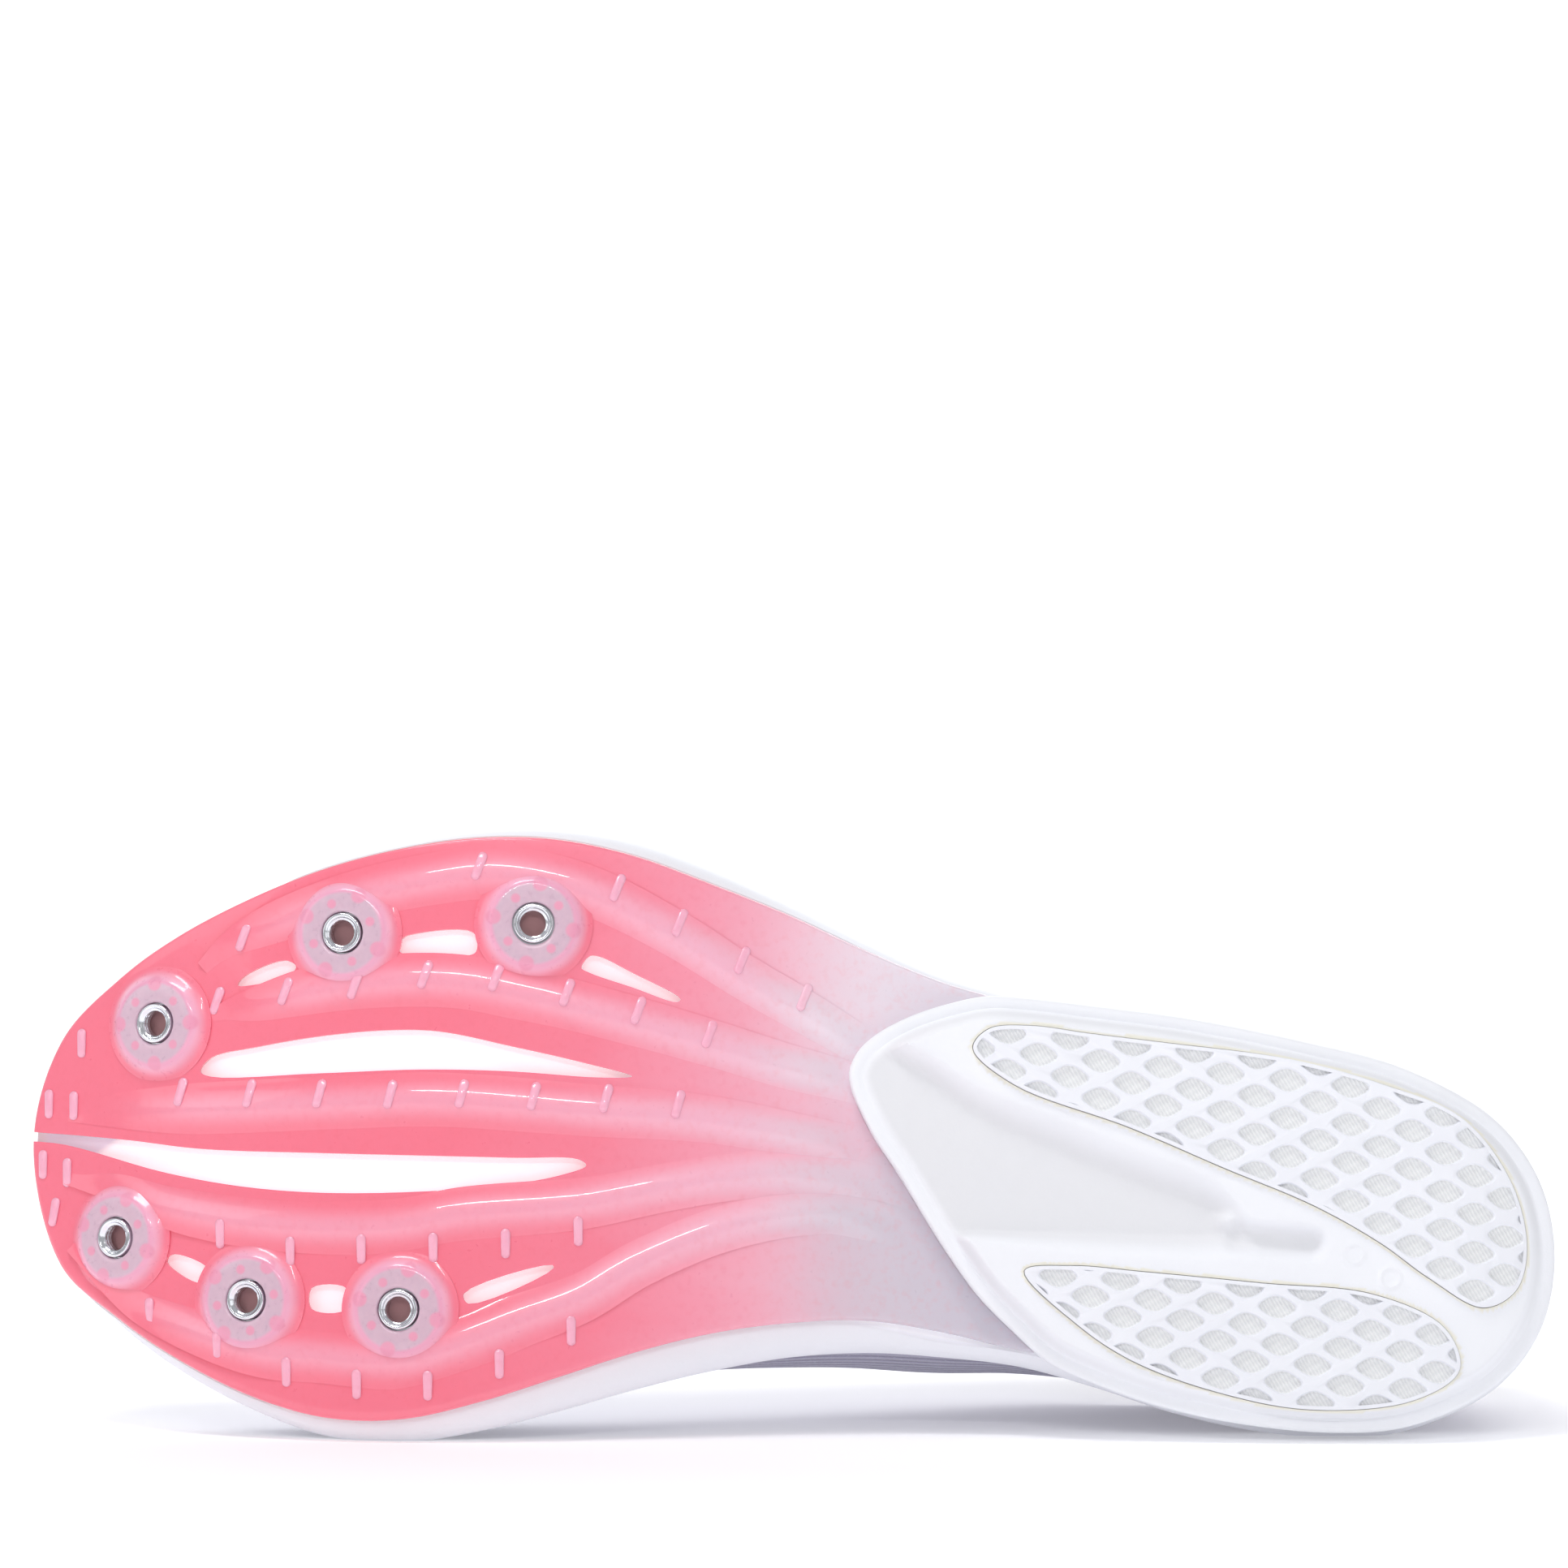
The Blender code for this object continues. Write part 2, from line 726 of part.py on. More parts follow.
def face_outwards(sheet):
    """Turns an open sheet so that its lowest face looks away from the middle of its points."""
    mesh = bmesh.new()
    mesh.from_mesh(sheet.data)
    mesh.faces.ensure_lookup_table()
    lowest = min(mesh.faces, key=lambda face: face.calc_center_median().z)
    if lowest.normal.z > 0:
        bmesh.ops.reverse_faces(mesh, faces=mesh.faces)
    mesh.to_mesh(sheet.data)
    mesh.free()


def last_surface(along, half, side):
    """Points of the last over the middle of the foot, a distance from the spine on one side."""
    middle = (np.abs(RAYS[:, 0]) < 1e-9) & (SIDE < 0)
    other = (np.abs(RAYS[:, 0]) < 1e-9) & (SIDE > 0)
    medial = np.interp(along, STARTS[middle, 0], FEATHER_REACH[middle])
    lateral = np.interp(along, STARTS[other, 0][::-1], FEATHER_REACH[other][::-1])
    edge = np.where(side > 0, lateral, medial)
    flank = column(LAST, 2, along)
    foot = foam_top(along) + GAP
    peak = foam_top(along) + column(LAST, 1, along) * local_height(along)
    climb = climb_to_half(half, edge, flank)
    start = np.stack([along, spine_across(along)], axis=-1)
    direction = np.stack([np.zeros_like(along), side], axis=-1)
    crown = column(LAST, 3, along)
    return wall_point(start, direction, edge, foot, peak, flank, crown, belly_at(along, side), climb)


def grid_normals(grid):
    """Unit normals of a grid of points, from the differences along its rows and columns."""
    rows = np.gradient(grid, axis=0)
    columns = np.gradient(grid, axis=1)
    normal = np.cross(rows, columns)
    normal /= np.linalg.norm(normal, axis=2)[..., None]
    return np.where(normal[..., 2:] < 0, -normal, normal)


def add_tongue(rows=15, columns=7):
    """A padded sheet under the throat, from under the vamp to above the collar."""
    along = np.linspace(TONGUE_HALF[0][0], TONGUE_HALF[-1][0], rows) * LENGTH
    across = np.linspace(-1.0, 1.0, columns)
    along, across = np.meshgrid(along, across, indexing="ij")
    half = column(TONGUE_HALF, 1, along) * THROAT_WIDTH
    rounded = 1.0 - 0.35 * smooth_step((0.33 - along / LENGTH) / 0.04)
    grid = last_surface(along, np.abs(across) * half * rounded, np.sign(across + 1e-9))
    grid -= grid_normals(grid) * (UPPER_WALL + 3.0 * GAP)
    tongue = add_object(
        "tongue",
        *band(list(grid), closed=False),
        material("tongue_cloth", (0.30, 0.29, 0.38), 0.9),
    )
    upward(tongue)
    wall = tongue.modifiers.new("padding", "SOLIDIFY")
    wall.thickness = TONGUE
    wall.offset = -1.0
    wall.use_even_offset = True
    return tongue


def upward(sheet):
    """Turns an open sheet so that most of its faces look up."""
    mesh = bmesh.new()
    mesh.from_mesh(sheet.data)
    if sum(face.normal.z for face in mesh.faces) < 0:
        bmesh.ops.reverse_faces(mesh, faces=mesh.faces)
    mesh.to_mesh(sheet.data)
    mesh.free()


# Points of a lace crossing on each side of the ridge, as shares of its eyelet's distance
LACE_POINTS = (0.32, 0.62, 0.85, 1.08)


def lace_ribbon(name, first, last, side):
    """One flat crossing from the eyelet at one side over the ridge to the next on the other."""
    reach_out = np.array(LACE_POINTS)
    across = np.concatenate([-reach_out[::-1], [0.0], reach_out])
    along = first + (last - first) * (across + 1.0) / 2
    half = np.abs(across) * (column(THROAT, 1, along) * THROAT_WIDTH / 2 + EYELET_INSET)
    sides = np.sign(across + 1e-9) * side
    centre = last_surface(along, half, sides)
    ahead = np.gradient(centre, axis=0)
    ahead /= np.linalg.norm(ahead, axis=1)[:, None]
    step = LACE_WIDTH / 3
    nearby = last_surface(along + step, half, sides) - last_surface(along - step, half, sides)
    normal = np.cross(ahead, nearby)
    normal /= np.linalg.norm(normal, axis=1)[:, None]
    normal = np.where(normal[:, 2:] < 0, -normal, normal)
    width = np.cross(normal, ahead) * LACE_WIDTH / 2
    low = centre + normal * 3.0 * GAP
    high = low + normal * LACE_THICKNESS
    section = [low - width, low + width, high + width, high - width]
    points, faces = band([np.array(row) for row in zip(*section)])
    faces += [[0, 1, 2, 3], list(range(len(points) - 4, len(points)))]
    return add_object(name, points, faces)


def add_lace():
    """Crossed flat lace over the throat, one joined solid that ends at the top eyelets."""
    places = np.linspace(0.375, 0.625, LACE_ROWS) * LENGTH
    finish = material("lace_cotton", (0.72, 0.71, 0.76), 0.9)
    lace = lace_ribbon("lace", places[-1], places[-1], 1.0)
    CUTTERS.objects.unlink(lace)
    COLLECTION.objects.link(lace)
    lace.hide_render = False
    lace.display_type = "TEXTURED"
    lace.data.materials.append(finish)
    for number, (upper_row, lower_row) in enumerate(zip(places[:-1], places[1:])):
        for side in (-1.0, 1.0):
            crossing = lace_ribbon(f"lace_crossing_{number}_{int(side > 0)}", lower_row, upper_row, side)
            boolean(lace, crossing, "UNION")
    bake(lace)
    return lace


def heel_heights(piece):
    """Fits a piece of the heel to the foam above it, and lifts its rear edge off the ground."""
    mesh = bmesh.new()
    mesh.from_mesh(piece.data)
    cuts = [*np.linspace(0.01, 0.10, 7), *np.linspace(0.42, 0.46, 3)]
    for share in cuts:
        everything = [*mesh.verts, *mesh.edges, *mesh.faces]
        bmesh.ops.bisect_plane(
            mesh, geom=everything, plane_co=(share * LENGTH, 0, 0), plane_no=(1, 0, 0), dist=1e-6
        )
    top = ARCH_RISE + PLATE
    for vertex in mesh.verts:
        along = vertex.co.x
        rear = max(0.0, 1.0 - along / (0.09 * LENGTH))
        lift = REAR_BEVEL * rear * rear
        vertex.co.z = lift + vertex.co.z / top * (float(foam_bottom(along)) - GAP - lift)
    bmesh.ops.triangulate(mesh, faces=mesh.faces)
    mesh.to_mesh(piece.data)
    mesh.free()
    piece.data.set_sharp_from_angle(angle=math.radians(35))


def add_heel():
    """The heel piece, its rim, its two raised seats and the bare valley between them, and the pads."""
    foam = bpy.data.materials["foam_white"]
    rubber = material("pad_rubber", (0.80, 0.81, 0.84), 0.55)
    top = ARCH_RISE + PLATE
    block = stack(
        "heel_outsole",
        [
            (grown(HEEL_OUTLINE, -HEEL_ROUND), RIM_RISE),
            (HEEL_OUTLINE, RIM_RISE + HEEL_ROUND),
            (HEEL_OUTLINE, top),
        ],
        foam,
    )
    seat_foot = grown(HEEL_OUTLINE, -2.0 * LIP)
    seat_root = grown(HEEL_OUTLINE, -LIP)
    seat = stack("heel_seats", [(seat_foot, PAD_PROUD), (seat_root, RIM_RISE + 2.0 * HEEL_ROUND)])
    valley = np.array(VALLEY)
    floor = closed_curve(in_plan(valley[:, 0:2]), 2)
    brow = closed_curve(in_plan(valley[:, 2:4]), 2)
    wedge = stack(
        "heel_valley",
        [(brow, -PAST), (brow, PAD_PROUD), (floor, RIM_RISE), (floor, RIM_RISE + 4.0 * HEEL_ROUND)],
    )
    boolean(seat, wedge, "DIFFERENCE")
    boolean(block, seat, "UNION")
    pads = []
    for name, table in (("heel_pad_lateral", PAD_LATERAL), ("heel_pad_medial", PAD_MEDIAL)):
        outline = closed_curve(in_plan(table), 2)
        around = grown(outline, GAP)
        pocket = stack(name + "_pocket", [(around, -PAST), (around, PAD + GAP)])
        boolean(block, pocket, "DIFFERENCE")
        levels = [(grown(outline, -PAD_ROUND), 0.0), (outline, PAD_ROUND), (outline, PAD)]
        pads.append(stack(name, levels, rubber))
    bake(block)
    for piece in (block, *pads):
        heel_heights(piece)
    return [block, *pads]


def well_place(share):
    """Where a well meets the plate's underside, and how far the toe spring tips it there."""
    plan = in_plan([share])[0]
    step = BOSS_RADIUS / 5
    slope = (underside(plan[0] + step) - underside(plan[0] - step)) / (2 * step)
    place = Matrix.Translation((plan[0], plan[1], float(underside(plan[0]))))
    return place @ Matrix.Rotation(-math.atan(slope), 4, "Y")


def disc(name, levels, place, segments=16):
    """A round cutter or boss through radii and heights, set on the plate. levels: radius, height."""
    turn = np.arange(segments) * 2 * math.pi / segments
    circle = np.stack([np.cos(turn), np.sin(turn)], axis=1)
    made = stack(name, [(circle * radius, height) for radius, height in levels])
    made.matrix_world = place
    return made


def rib(name, points):
    """A low rounded rib along a path under the plate, narrower at its ends."""
    path = smooth_path(in_plan(points), 11)
    ahead = np.gradient(path, axis=0)
    ahead /= np.linalg.norm(ahead, axis=1)[:, None]
    out = np.stack([ahead[:, 1], -ahead[:, 0]], axis=1)
    share = np.linspace(0.0, 1.0, len(path))
    half = curve_through(np.linspace(0.0, 1.0, len(RIB_HALF)), RIB_HALF, share)
    rise = RIB_HEIGHT * np.minimum(1.0, 0.35 + 4.0 * share)
    ground = underside(path[:, 0])
    profile = ((-1.0, None), (-0.65, 0.65), (0.0, 1.0), (0.65, 0.65), (1.0, None))
    lines = []
    for offset, depth in profile:
        height = ground + RIB_ROOT if depth is None else ground - depth * rise
        lines.append(np.column_stack([path + out * (offset * half)[:, None], height]))
    rings = [np.array(row) for row in zip(*lines)]
    points, faces = band(rings)
    count = len(profile)
    faces += [list(range(count)), list(range(len(points) - count, len(points)))]
    return add_object(name, points, faces)


def add_plate():
    """The stiff springy plate: slots, ribs, bosses, and the seats of the spike wells."""

    def at(height):
        return lambda along: underside(along) + height

    rings = [
        ring(0.0, at(0.0)),
        ring(0.5 * PLATE_REACH, at(0.0)),
        ring(PLATE_REACH - PLATE_ROUND, at(0.0)),
        ring(PLATE_REACH, at(PLATE_ROUND)),
        ring(PLATE_REACH, at(PLATE)),
        ring(0.5 * PLATE_REACH, at(PLATE)),
        ring(0.0, at(PLATE)),
    ]
    plate = sole_solid("spike_plate", rings, material("plate_pink", (1.0, 0.20, 0.27), 0.3))
    for name, points in SLOTS.items():
        outline = closed_curve(in_plan(points), 1 if len(points) > 10 else 2)
        boolean(plate, stack("slot_" + name, [(outline, CUT_LOW), (outline, CUT_HIGH)]), "DIFFERENCE")
    for name, points in RIBS.items():
        boolean(plate, rib("rib_" + name, points), "UNION")
    boss = (
        (BOSS_RADIUS - BOSS_ROUND, -BOSS_PROUD),
        (BOSS_RADIUS, 0.8 * BOSS_ROUND - BOSS_PROUD),
        (BOSS_RADIUS, PLATE / 2),
    )
    hole = RING_RADIUS + GAP
    pocket = FLANGE_RADIUS + GAP
    seat = PLATE - FLANGE_SEAT
    recess = ((hole, -5.0 * BOSS_PROUD), (hole, seat), (pocket, seat), (pocket, PLATE + 3.0 * PAST))
    for name, share in WELLS.items():
        boolean(plate, disc(name + "_boss", boss, well_place(share)), "UNION")
    for name, share in WELLS.items():
        boolean(plate, disc(name + "_seat", recess, well_place(share)), "DIFFERENCE")
    around_heel = grown(HEEL_OUTLINE, GAP)
    tail = stack("plate_tail", [(around_heel, CUT_LOW), (around_heel, CUT_HIGH)])
    boolean(plate, tail, "DIFFERENCE")
    bake(plate)
    return plate


def add_wells():
    """Turned steel inserts: a flange held in the plate and a ring whose bore takes the spike."""
    steel = material("steel", (0.62, 0.64, 0.68), 0.25, 1.0)
    base = PLATE - FLANGE_SEAT + GAP
    mouth = -BOSS_PROUD - GAP
    bottom = base + FLANGE / 4
    profile = (
        (0.0, base + FLANGE),
        (FLANGE_RADIUS, base + FLANGE),
        (FLANGE_RADIUS, base),
        (RING_RADIUS, base),
        (RING_RADIUS, mouth),
        (BORE_RADIUS + BORE_CHAMFER, mouth),
        (BORE_RADIUS, mouth + BORE_CHAMFER),
        (BORE_RADIUS, bottom),
        (0.0, bottom),
    )
    wells = []
    for name, share in WELLS.items():
        mesh = bpy.data.meshes.new(name)
        edges = [(index, index + 1) for index in range(len(profile) - 1)]
        mesh.from_pydata([(radius, 0.0, height) for radius, height in profile], edges, [])
        mesh.materials.append(steel)
        well = bpy.data.objects.new(name, mesh)
        COLLECTION.objects.link(well)
        well.matrix_world = well_place(share)
        turned = well.modifiers.new("turned", "SCREW")
        turned.steps = 14
        turned.render_steps = 14
        turned.use_merge_vertices = True
        turned.merge_threshold = 0.00001
        wells.append(well)
    return wells


def world_points(piece):
    """The piece's points after its modifiers, in world space."""
    graph = bpy.context.evaluated_depsgraph_get()
    evaluated = piece.evaluated_get(graph)
    mesh = evaluated.to_mesh()
    points = np.empty(len(mesh.vertices) * 3, np.float32)
    mesh.vertices.foreach_get("co", points)
    evaluated.to_mesh_clear()
    world = np.array(piece.matrix_world)
    return points.reshape(-1, 3).astype(float) @ world[:3, :3].T + world[:3, 3]


def lying_turn(sole_points, upper_points):
    """The turn that lays the shoe on its medial side, on the sole's heel and ball and on the collar."""
    lay_down = Matrix(((-1, 0, 0, 0), (0, 0, 1, 0), (0, 1, 0, 0), (0, 0, 0, 1)))
    roll = 0.0
    swing = 0.0
    heel = sole_points[sole_points[:, 0] < 0.45 * LENGTH]
    ball = sole_points[sole_points[:, 0] > 0.55 * LENGTH]
    for _ in range(40):
        turn = Matrix.Rotation(-roll, 4, "X") @ lay_down @ Matrix.Rotation(swing, 4, "Z")
        down = np.array(turn)[2, :3]
        lows = [points[np.argmin(points @ down)] for points in (heel, ball, upper_points)]
        levels = [float(point @ down) for point in lows]
        swing += 0.7 * (levels[0] - levels[1]) / (lows[1][0] - lows[0][0])
        roll += 0.7 * (levels[2] - min(levels[:2])) / (lows[2][2] - lows[0][2])
    return turn


def lay_on_side(pieces, upper):
    """Parents every piece to one empty that lays the shoe down, its origin under the box's middle."""
    soles = [piece for piece in pieces if piece.name in ("midsole", "heel_outsole")]
    sole = np.concatenate([world_points(piece) for piece in soles])
    turn = lying_turn(sole, world_points(upper))
    stand = bpy.data.objects.new("lying_on_its_side", None)
    COLLECTION.objects.link(stand)
    rotation = np.array(turn)[:3, :3]
    placed = np.concatenate([world_points(piece) for piece in pieces]) @ rotation.T
    low, high = placed.min(axis=0), placed.max(axis=0)
    shift = (-(low[0] + high[0]) / 2, -(low[1] + high[1]) / 2, -low[2] - REST_FLAT)
    stand.matrix_world = Matrix.Translation(shift) @ turn
    for piece in pieces:
        piece.parent = stand
    bpy.ops.mesh.primitive_cube_add(size=1.0, location=(0.0, 0.0, -FLOOR_DEPTH / 2))
    floor = bpy.context.object
    floor.name = "floor"
    floor.data.transform(Matrix.Diagonal((FLOOR_SIDE, FLOOR_SIDE, FLOOR_DEPTH, 1.0)))
    for collection in list(floor.users_collection):
        collection.objects.unlink(floor)
    CUTTERS.objects.link(floor)
    floor.hide_render = True
    floor.display_type = "WIRE"
    for piece in (*soles, upper):
        boolean(piece, floor, "DIFFERENCE")


def main():
    for old in list(bpy.data.objects):
        bpy.data.objects.remove(old, do_unlink=True)
    bpy.context.scene.collection.children.link(COLLECTION)
    bpy.context.scene.collection.children.link(CUTTERS)
    midsole = add_midsole()
    insole = add_insole()
    upper = add_upper()
    tongue = add_tongue()
    pieces = [midsole, insole, upper, tongue, add_plate(), *add_heel(), *add_wells(), add_lace()]
    bpy.context.view_layer.update()
    lay_on_side(pieces, upper)


main()
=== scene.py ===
"""The looks of a left track spike shoe that lies on its medial side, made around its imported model."""
import math

import bmesh
import bpy
import numpy as np
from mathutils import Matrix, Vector


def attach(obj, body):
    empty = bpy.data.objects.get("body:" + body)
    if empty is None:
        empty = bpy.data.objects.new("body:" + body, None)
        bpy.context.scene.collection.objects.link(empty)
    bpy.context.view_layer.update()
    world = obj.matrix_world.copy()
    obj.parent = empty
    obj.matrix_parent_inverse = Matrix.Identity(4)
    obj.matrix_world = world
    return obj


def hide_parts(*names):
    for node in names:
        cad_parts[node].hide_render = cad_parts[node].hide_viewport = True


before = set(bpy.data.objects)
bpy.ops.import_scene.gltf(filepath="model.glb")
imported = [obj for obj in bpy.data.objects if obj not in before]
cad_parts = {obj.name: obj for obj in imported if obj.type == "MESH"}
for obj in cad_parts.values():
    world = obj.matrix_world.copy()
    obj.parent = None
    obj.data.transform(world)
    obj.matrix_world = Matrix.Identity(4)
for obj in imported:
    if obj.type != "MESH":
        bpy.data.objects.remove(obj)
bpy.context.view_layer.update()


# Studio: a pale floor that curves up into a wall, soft lamps, and a level camera in front of the
# sole, as high over the floor as the photograph's. VIEW_WIDTH is what the frame spans at the sole.
CAMERA_PLACE = (-0.0010, -1.100, 0.1209)
SOLE_PLANE = -0.045
VIEW_WIDTH = 0.2882
AIR_COLOUR = (0.97, 0.98, 1.0, 1.0)
AIR_STRENGTH = 0.41
LAMP_AIM = (0.0, -0.02, 0.05)
FLOOR_HALF = 2.5
WALL_START = 0.60
WALL_RADIUS = 0.60
WALL_TOP = 2.5

scene = bpy.context.scene
camera = bpy.data.objects.new("camera", bpy.data.cameras.new("camera"))
scene.collection.objects.link(camera)
camera.location = CAMERA_PLACE
camera.rotation_euler = (math.pi / 2, 0.0, 0.0)
camera.data.lens = camera.data.sensor_width * (SOLE_PLANE - CAMERA_PLACE[1]) / VIEW_WIDTH
scene.camera = camera
scene.view_settings.view_transform = "Standard"

scene.world = bpy.data.worlds.new("studio_air")
scene.world.use_nodes = True
air = scene.world.node_tree.nodes["Background"]
air.inputs["Color"].default_value = AIR_COLOUR
air.inputs["Strength"].default_value = AIR_STRENGTH


def lamp(name, place, size, power):
    """A soft square or strip lamp that faces the shoe."""
    light = bpy.data.lights.new(name, "AREA")
    light.shape = "RECTANGLE"
    light.size, light.size_y = size
    light.energy = power
    holder = bpy.data.objects.new(name, light)
    scene.collection.objects.link(holder)
    holder.location = place
    aim = Vector(LAMP_AIM) - Vector(place)
    holder.rotation_euler = aim.to_track_quat("-Z", "Y").to_euler()


lamp("lamp_above", (-0.22, -0.38, 0.95), (0.45, 0.20), 3.4)
lamp("lamp_strip", (-0.10, -1.05, 0.62), (0.60, 0.025), 2.0)
lamp("lamp_left", (-1.05, -0.75, 0.55), (0.60, 0.60), 1.2)
lamp("lamp_right", (1.05, -0.60, 0.45), (0.60, 0.60), 0.8)
lamp("lamp_behind", (0.20, 1.10, 0.90), (0.90, 0.60), 7.0)


class Value:
    """A shader socket; on numbers its operators add Math nodes, and 1 - mask works too."""

    def __init__(self, finish, socket):
        self.finish = finish
        self.socket = socket

    def maths(self, operation, *others):
        return self.finish.node("Math", {"operation": operation}, (self, *others))

    def __add__(self, other):
        return self.maths("ADD", other)

    def __sub__(self, other):
        return self.maths("SUBTRACT", other)

    def __rsub__(self, other):
        return self.finish.node("Math", {"operation": "SUBTRACT"}, (other, self))

    def __mul__(self, other):
        return self.maths("MULTIPLY", other)

    def __truediv__(self, other):
        return self.maths("DIVIDE", other)

    __radd__ = __add__
    __rmul__ = __mul__

    def absolute(self):
        return self.maths("ABSOLUTE")

    def wave(self, period):
        """From 0 to 1 and back once in each period of the value."""
        return (self * (2.0 * math.pi / period)).maths("SINE") * 0.5 + 0.5

    def between(self, low, high):
        """0 below low, 1 above high, a soft rise between; falls where low is above high."""
        settings = {"interpolation_type": "SMOOTHSTEP"}
        return self.finish.node("MapRange", settings, {0: self, 1: low, 2: high, 3: 0.0, 4: 1.0})


def paint(red, green, blue):
    """A colour given as on a screen, from 0 to 255, as the shader's linear numbers."""
    shares = np.array([red, green, blue]) / 255.0
    linear = np.where(shares <= 0.04045, shares / 12.92, ((shares + 0.055) / 1.055) ** 2.4)
    return (*linear.tolist(), 1.0)


class Finish:
    """A material on one Principled shader; every other node comes from node()."""

    def __init__(self, name, **numbers):
        self.material = bpy.data.materials.new(name)
        self.material.use_nodes = True
        self.tree = self.material.node_tree
        self.shader = self.tree.nodes["Principled BSDF"]
        for socket, value in numbers.items():
            self.shader.inputs[socket.replace("_", " ")].default_value = value

    def node(self, kind, settings=None, inputs=(), out=0):
        """Adds a node: its settings first, then the values or links of its sockets."""
        made = self.tree.nodes.new("ShaderNode" + kind)
        for key, value in (settings or {}).items():
            if key == "stops":
                while len(made.color_ramp.elements) < len(value):
                    made.color_ramp.elements.new(1.0)
                for element, (place, colour) in zip(made.color_ramp.elements, value):
                    element.position = place
                    element.color = colour
            else:
                setattr(made, key, value)
        for key, given in inputs.items() if isinstance(inputs, dict) else enumerate(inputs):
            if isinstance(given, Value):
                self.tree.links.new(given.socket, made.inputs[key])
            else:
                made.inputs[key].default_value = given
        return Value(self, made.outputs[out])

    def place(self):
        """The point on the object, in metres."""
        return self.node("TexCoord", out="Object")

    def uv(self):
        return self.node("UVMap", {"uv_map": "UVMap"})

    def axes(self, vector):
        return [self.node("SeparateXYZ", None, (vector,), out=index) for index in range(3)]

    def mark(self, name):
        """A number that the mesh carries at its points."""
        return self.node("Attribute", {"attribute_name": name}, out="Fac")

    def mix(self, factor, first, second):
        return self.node("Mix", {"data_type": "RGBA"}, {0: factor, 6: first, 7: second}, out=2)

    def noise(self, vector, scale, detail=2.0):
        inputs = {"Vector": vector, "Scale": scale, "Detail": detail}
        return self.node("TexNoise", None, inputs)

    def cloud(self, scale, dark, light, detail=2.0):
        """A noise over the object, and the colour that it turns from dark to light."""
        noise = self.noise(self.place(), scale, detail)
        return noise, self.mix(noise, paint(*dark), paint(*light))

    def bump(self, height, distance, strength=1.0):
        inputs = {"Height": height, "Distance": distance, "Strength": strength}
        return self.node("Bump", None, inputs)

    def link(self, **sockets):
        for socket, value in sockets.items():
            self.tree.links.new(value.socket, self.shader.inputs[socket.replace("_", " ")])
        return self


sweep_turn = np.linspace(0.0, math.pi / 2, 24)
sweep_curve = zip(WALL_START + WALL_RADIUS * np.sin(sweep_turn), WALL_RADIUS * (1.0 - np.cos(sweep_turn)))
sweep_line = [(-FLOOR_HALF, 0.0), *sweep_curve, (WALL_START + WALL_RADIUS, WALL_TOP)]
sweep_mesh = bpy.data.meshes.new("floor_sweep")
sweep_left = [(-FLOOR_HALF, y, z) for y, z in sweep_line]
sweep_right = [(FLOOR_HALF, y, z) for y, z in sweep_line]
sweep_count = len(sweep_line)
sweep_faces = [(i, sweep_count + i, sweep_count + i + 1, i + 1) for i in range(sweep_count - 1)]
sweep_mesh.from_pydata(sweep_left + sweep_right, [], sweep_faces)
sweep_mesh.shade_smooth()
floor_sweep = bpy.data.objects.new("floor_sweep", sweep_mesh)
scene.collection.objects.link(floor_sweep)
paper = Finish("studio_paper", Roughness=0.9, Emission_Strength=0.5)
_, paper_white = paper.cloud(3.0, (246, 246, 248), (250, 250, 252))
# The wall glows a little more than the floor, so that it stays white behind the shoe
paper_rise = paper.axes(paper.place())[2].between(0.0, 0.5)
paper_glow = paper.mix(paper_rise, paint(160, 160, 162), paint(250, 250, 252))
paper.link(Base_Color=paper_white, Emission_Color=paper_glow)
sweep_mesh.materials.append(paper.material)


# Midsole: one piece of white moulded foam between plate and upper, flared out past the plate. Its
# shape runs on rays from the shoe's spine to the sole's edge, on the upright shoe: x from the back
# of the heel to the toe, y from the medial to the lateral side, z up. laid() then lays it down.
LENGTH = 0.2850
BALL_WIDTH = 0.1132
HEEL_WIDTH = 0.0730
TOE_SPRING = 0.0270
ARCH_RISE = 0.0097
HEEL_FOAM = 0.0100
PLATE = 0.0020
GAP = 0.0003
DOUBLES = 2e-6
SLIVER = 1e-7
FOAM_ROUND = 0.0016
FOAM_PAST_PLATE = 0.0004
FOAM_UNDERCUT = 0.0025
FEATHER_INSET = 0.0045
MARGIN = 0.0060
HEEL_CENTRE = 0.125
TOE_CENTRE = 0.905
ROLL = math.radians(5.7043)
SWING = math.radians(-0.2430)
SHIFT = np.array((0.1426598, -0.0515395, 0.0017332))

FOAM_EDGE = (
    # along, lateral, medial
    (0.000, 0.458, 0.458),
    (0.010, 0.652, 0.267),
    (0.040, 0.811, 0.119),
    (0.100, 0.938, 0.012),
    (0.150, 0.996, -0.004),
    (0.200, 1.041, 0.016),
    (0.250, 1.070, 0.060),
    (0.300, 1.068, 0.120),
    (0.350, 1.016, 0.161),
    (0.400, 0.970, 0.167),
    (0.450, 0.950, 0.162),
    (0.500, 0.946, 0.143),
    (0.550, 0.954, 0.114),
    (0.600, 0.979, 0.082),
    (0.650, 0.998, 0.047),
    (0.700, 0.996, 0.016),
    (0.750, 0.976, -0.002),
    (0.800, 0.943, 0.008),
    (0.850, 0.887, 0.052),
    (0.900, 0.823, 0.118),
    (0.940, 0.755, 0.191),
    (0.980, 0.650, 0.292),
    (0.999, 0.495, 0.495),
)
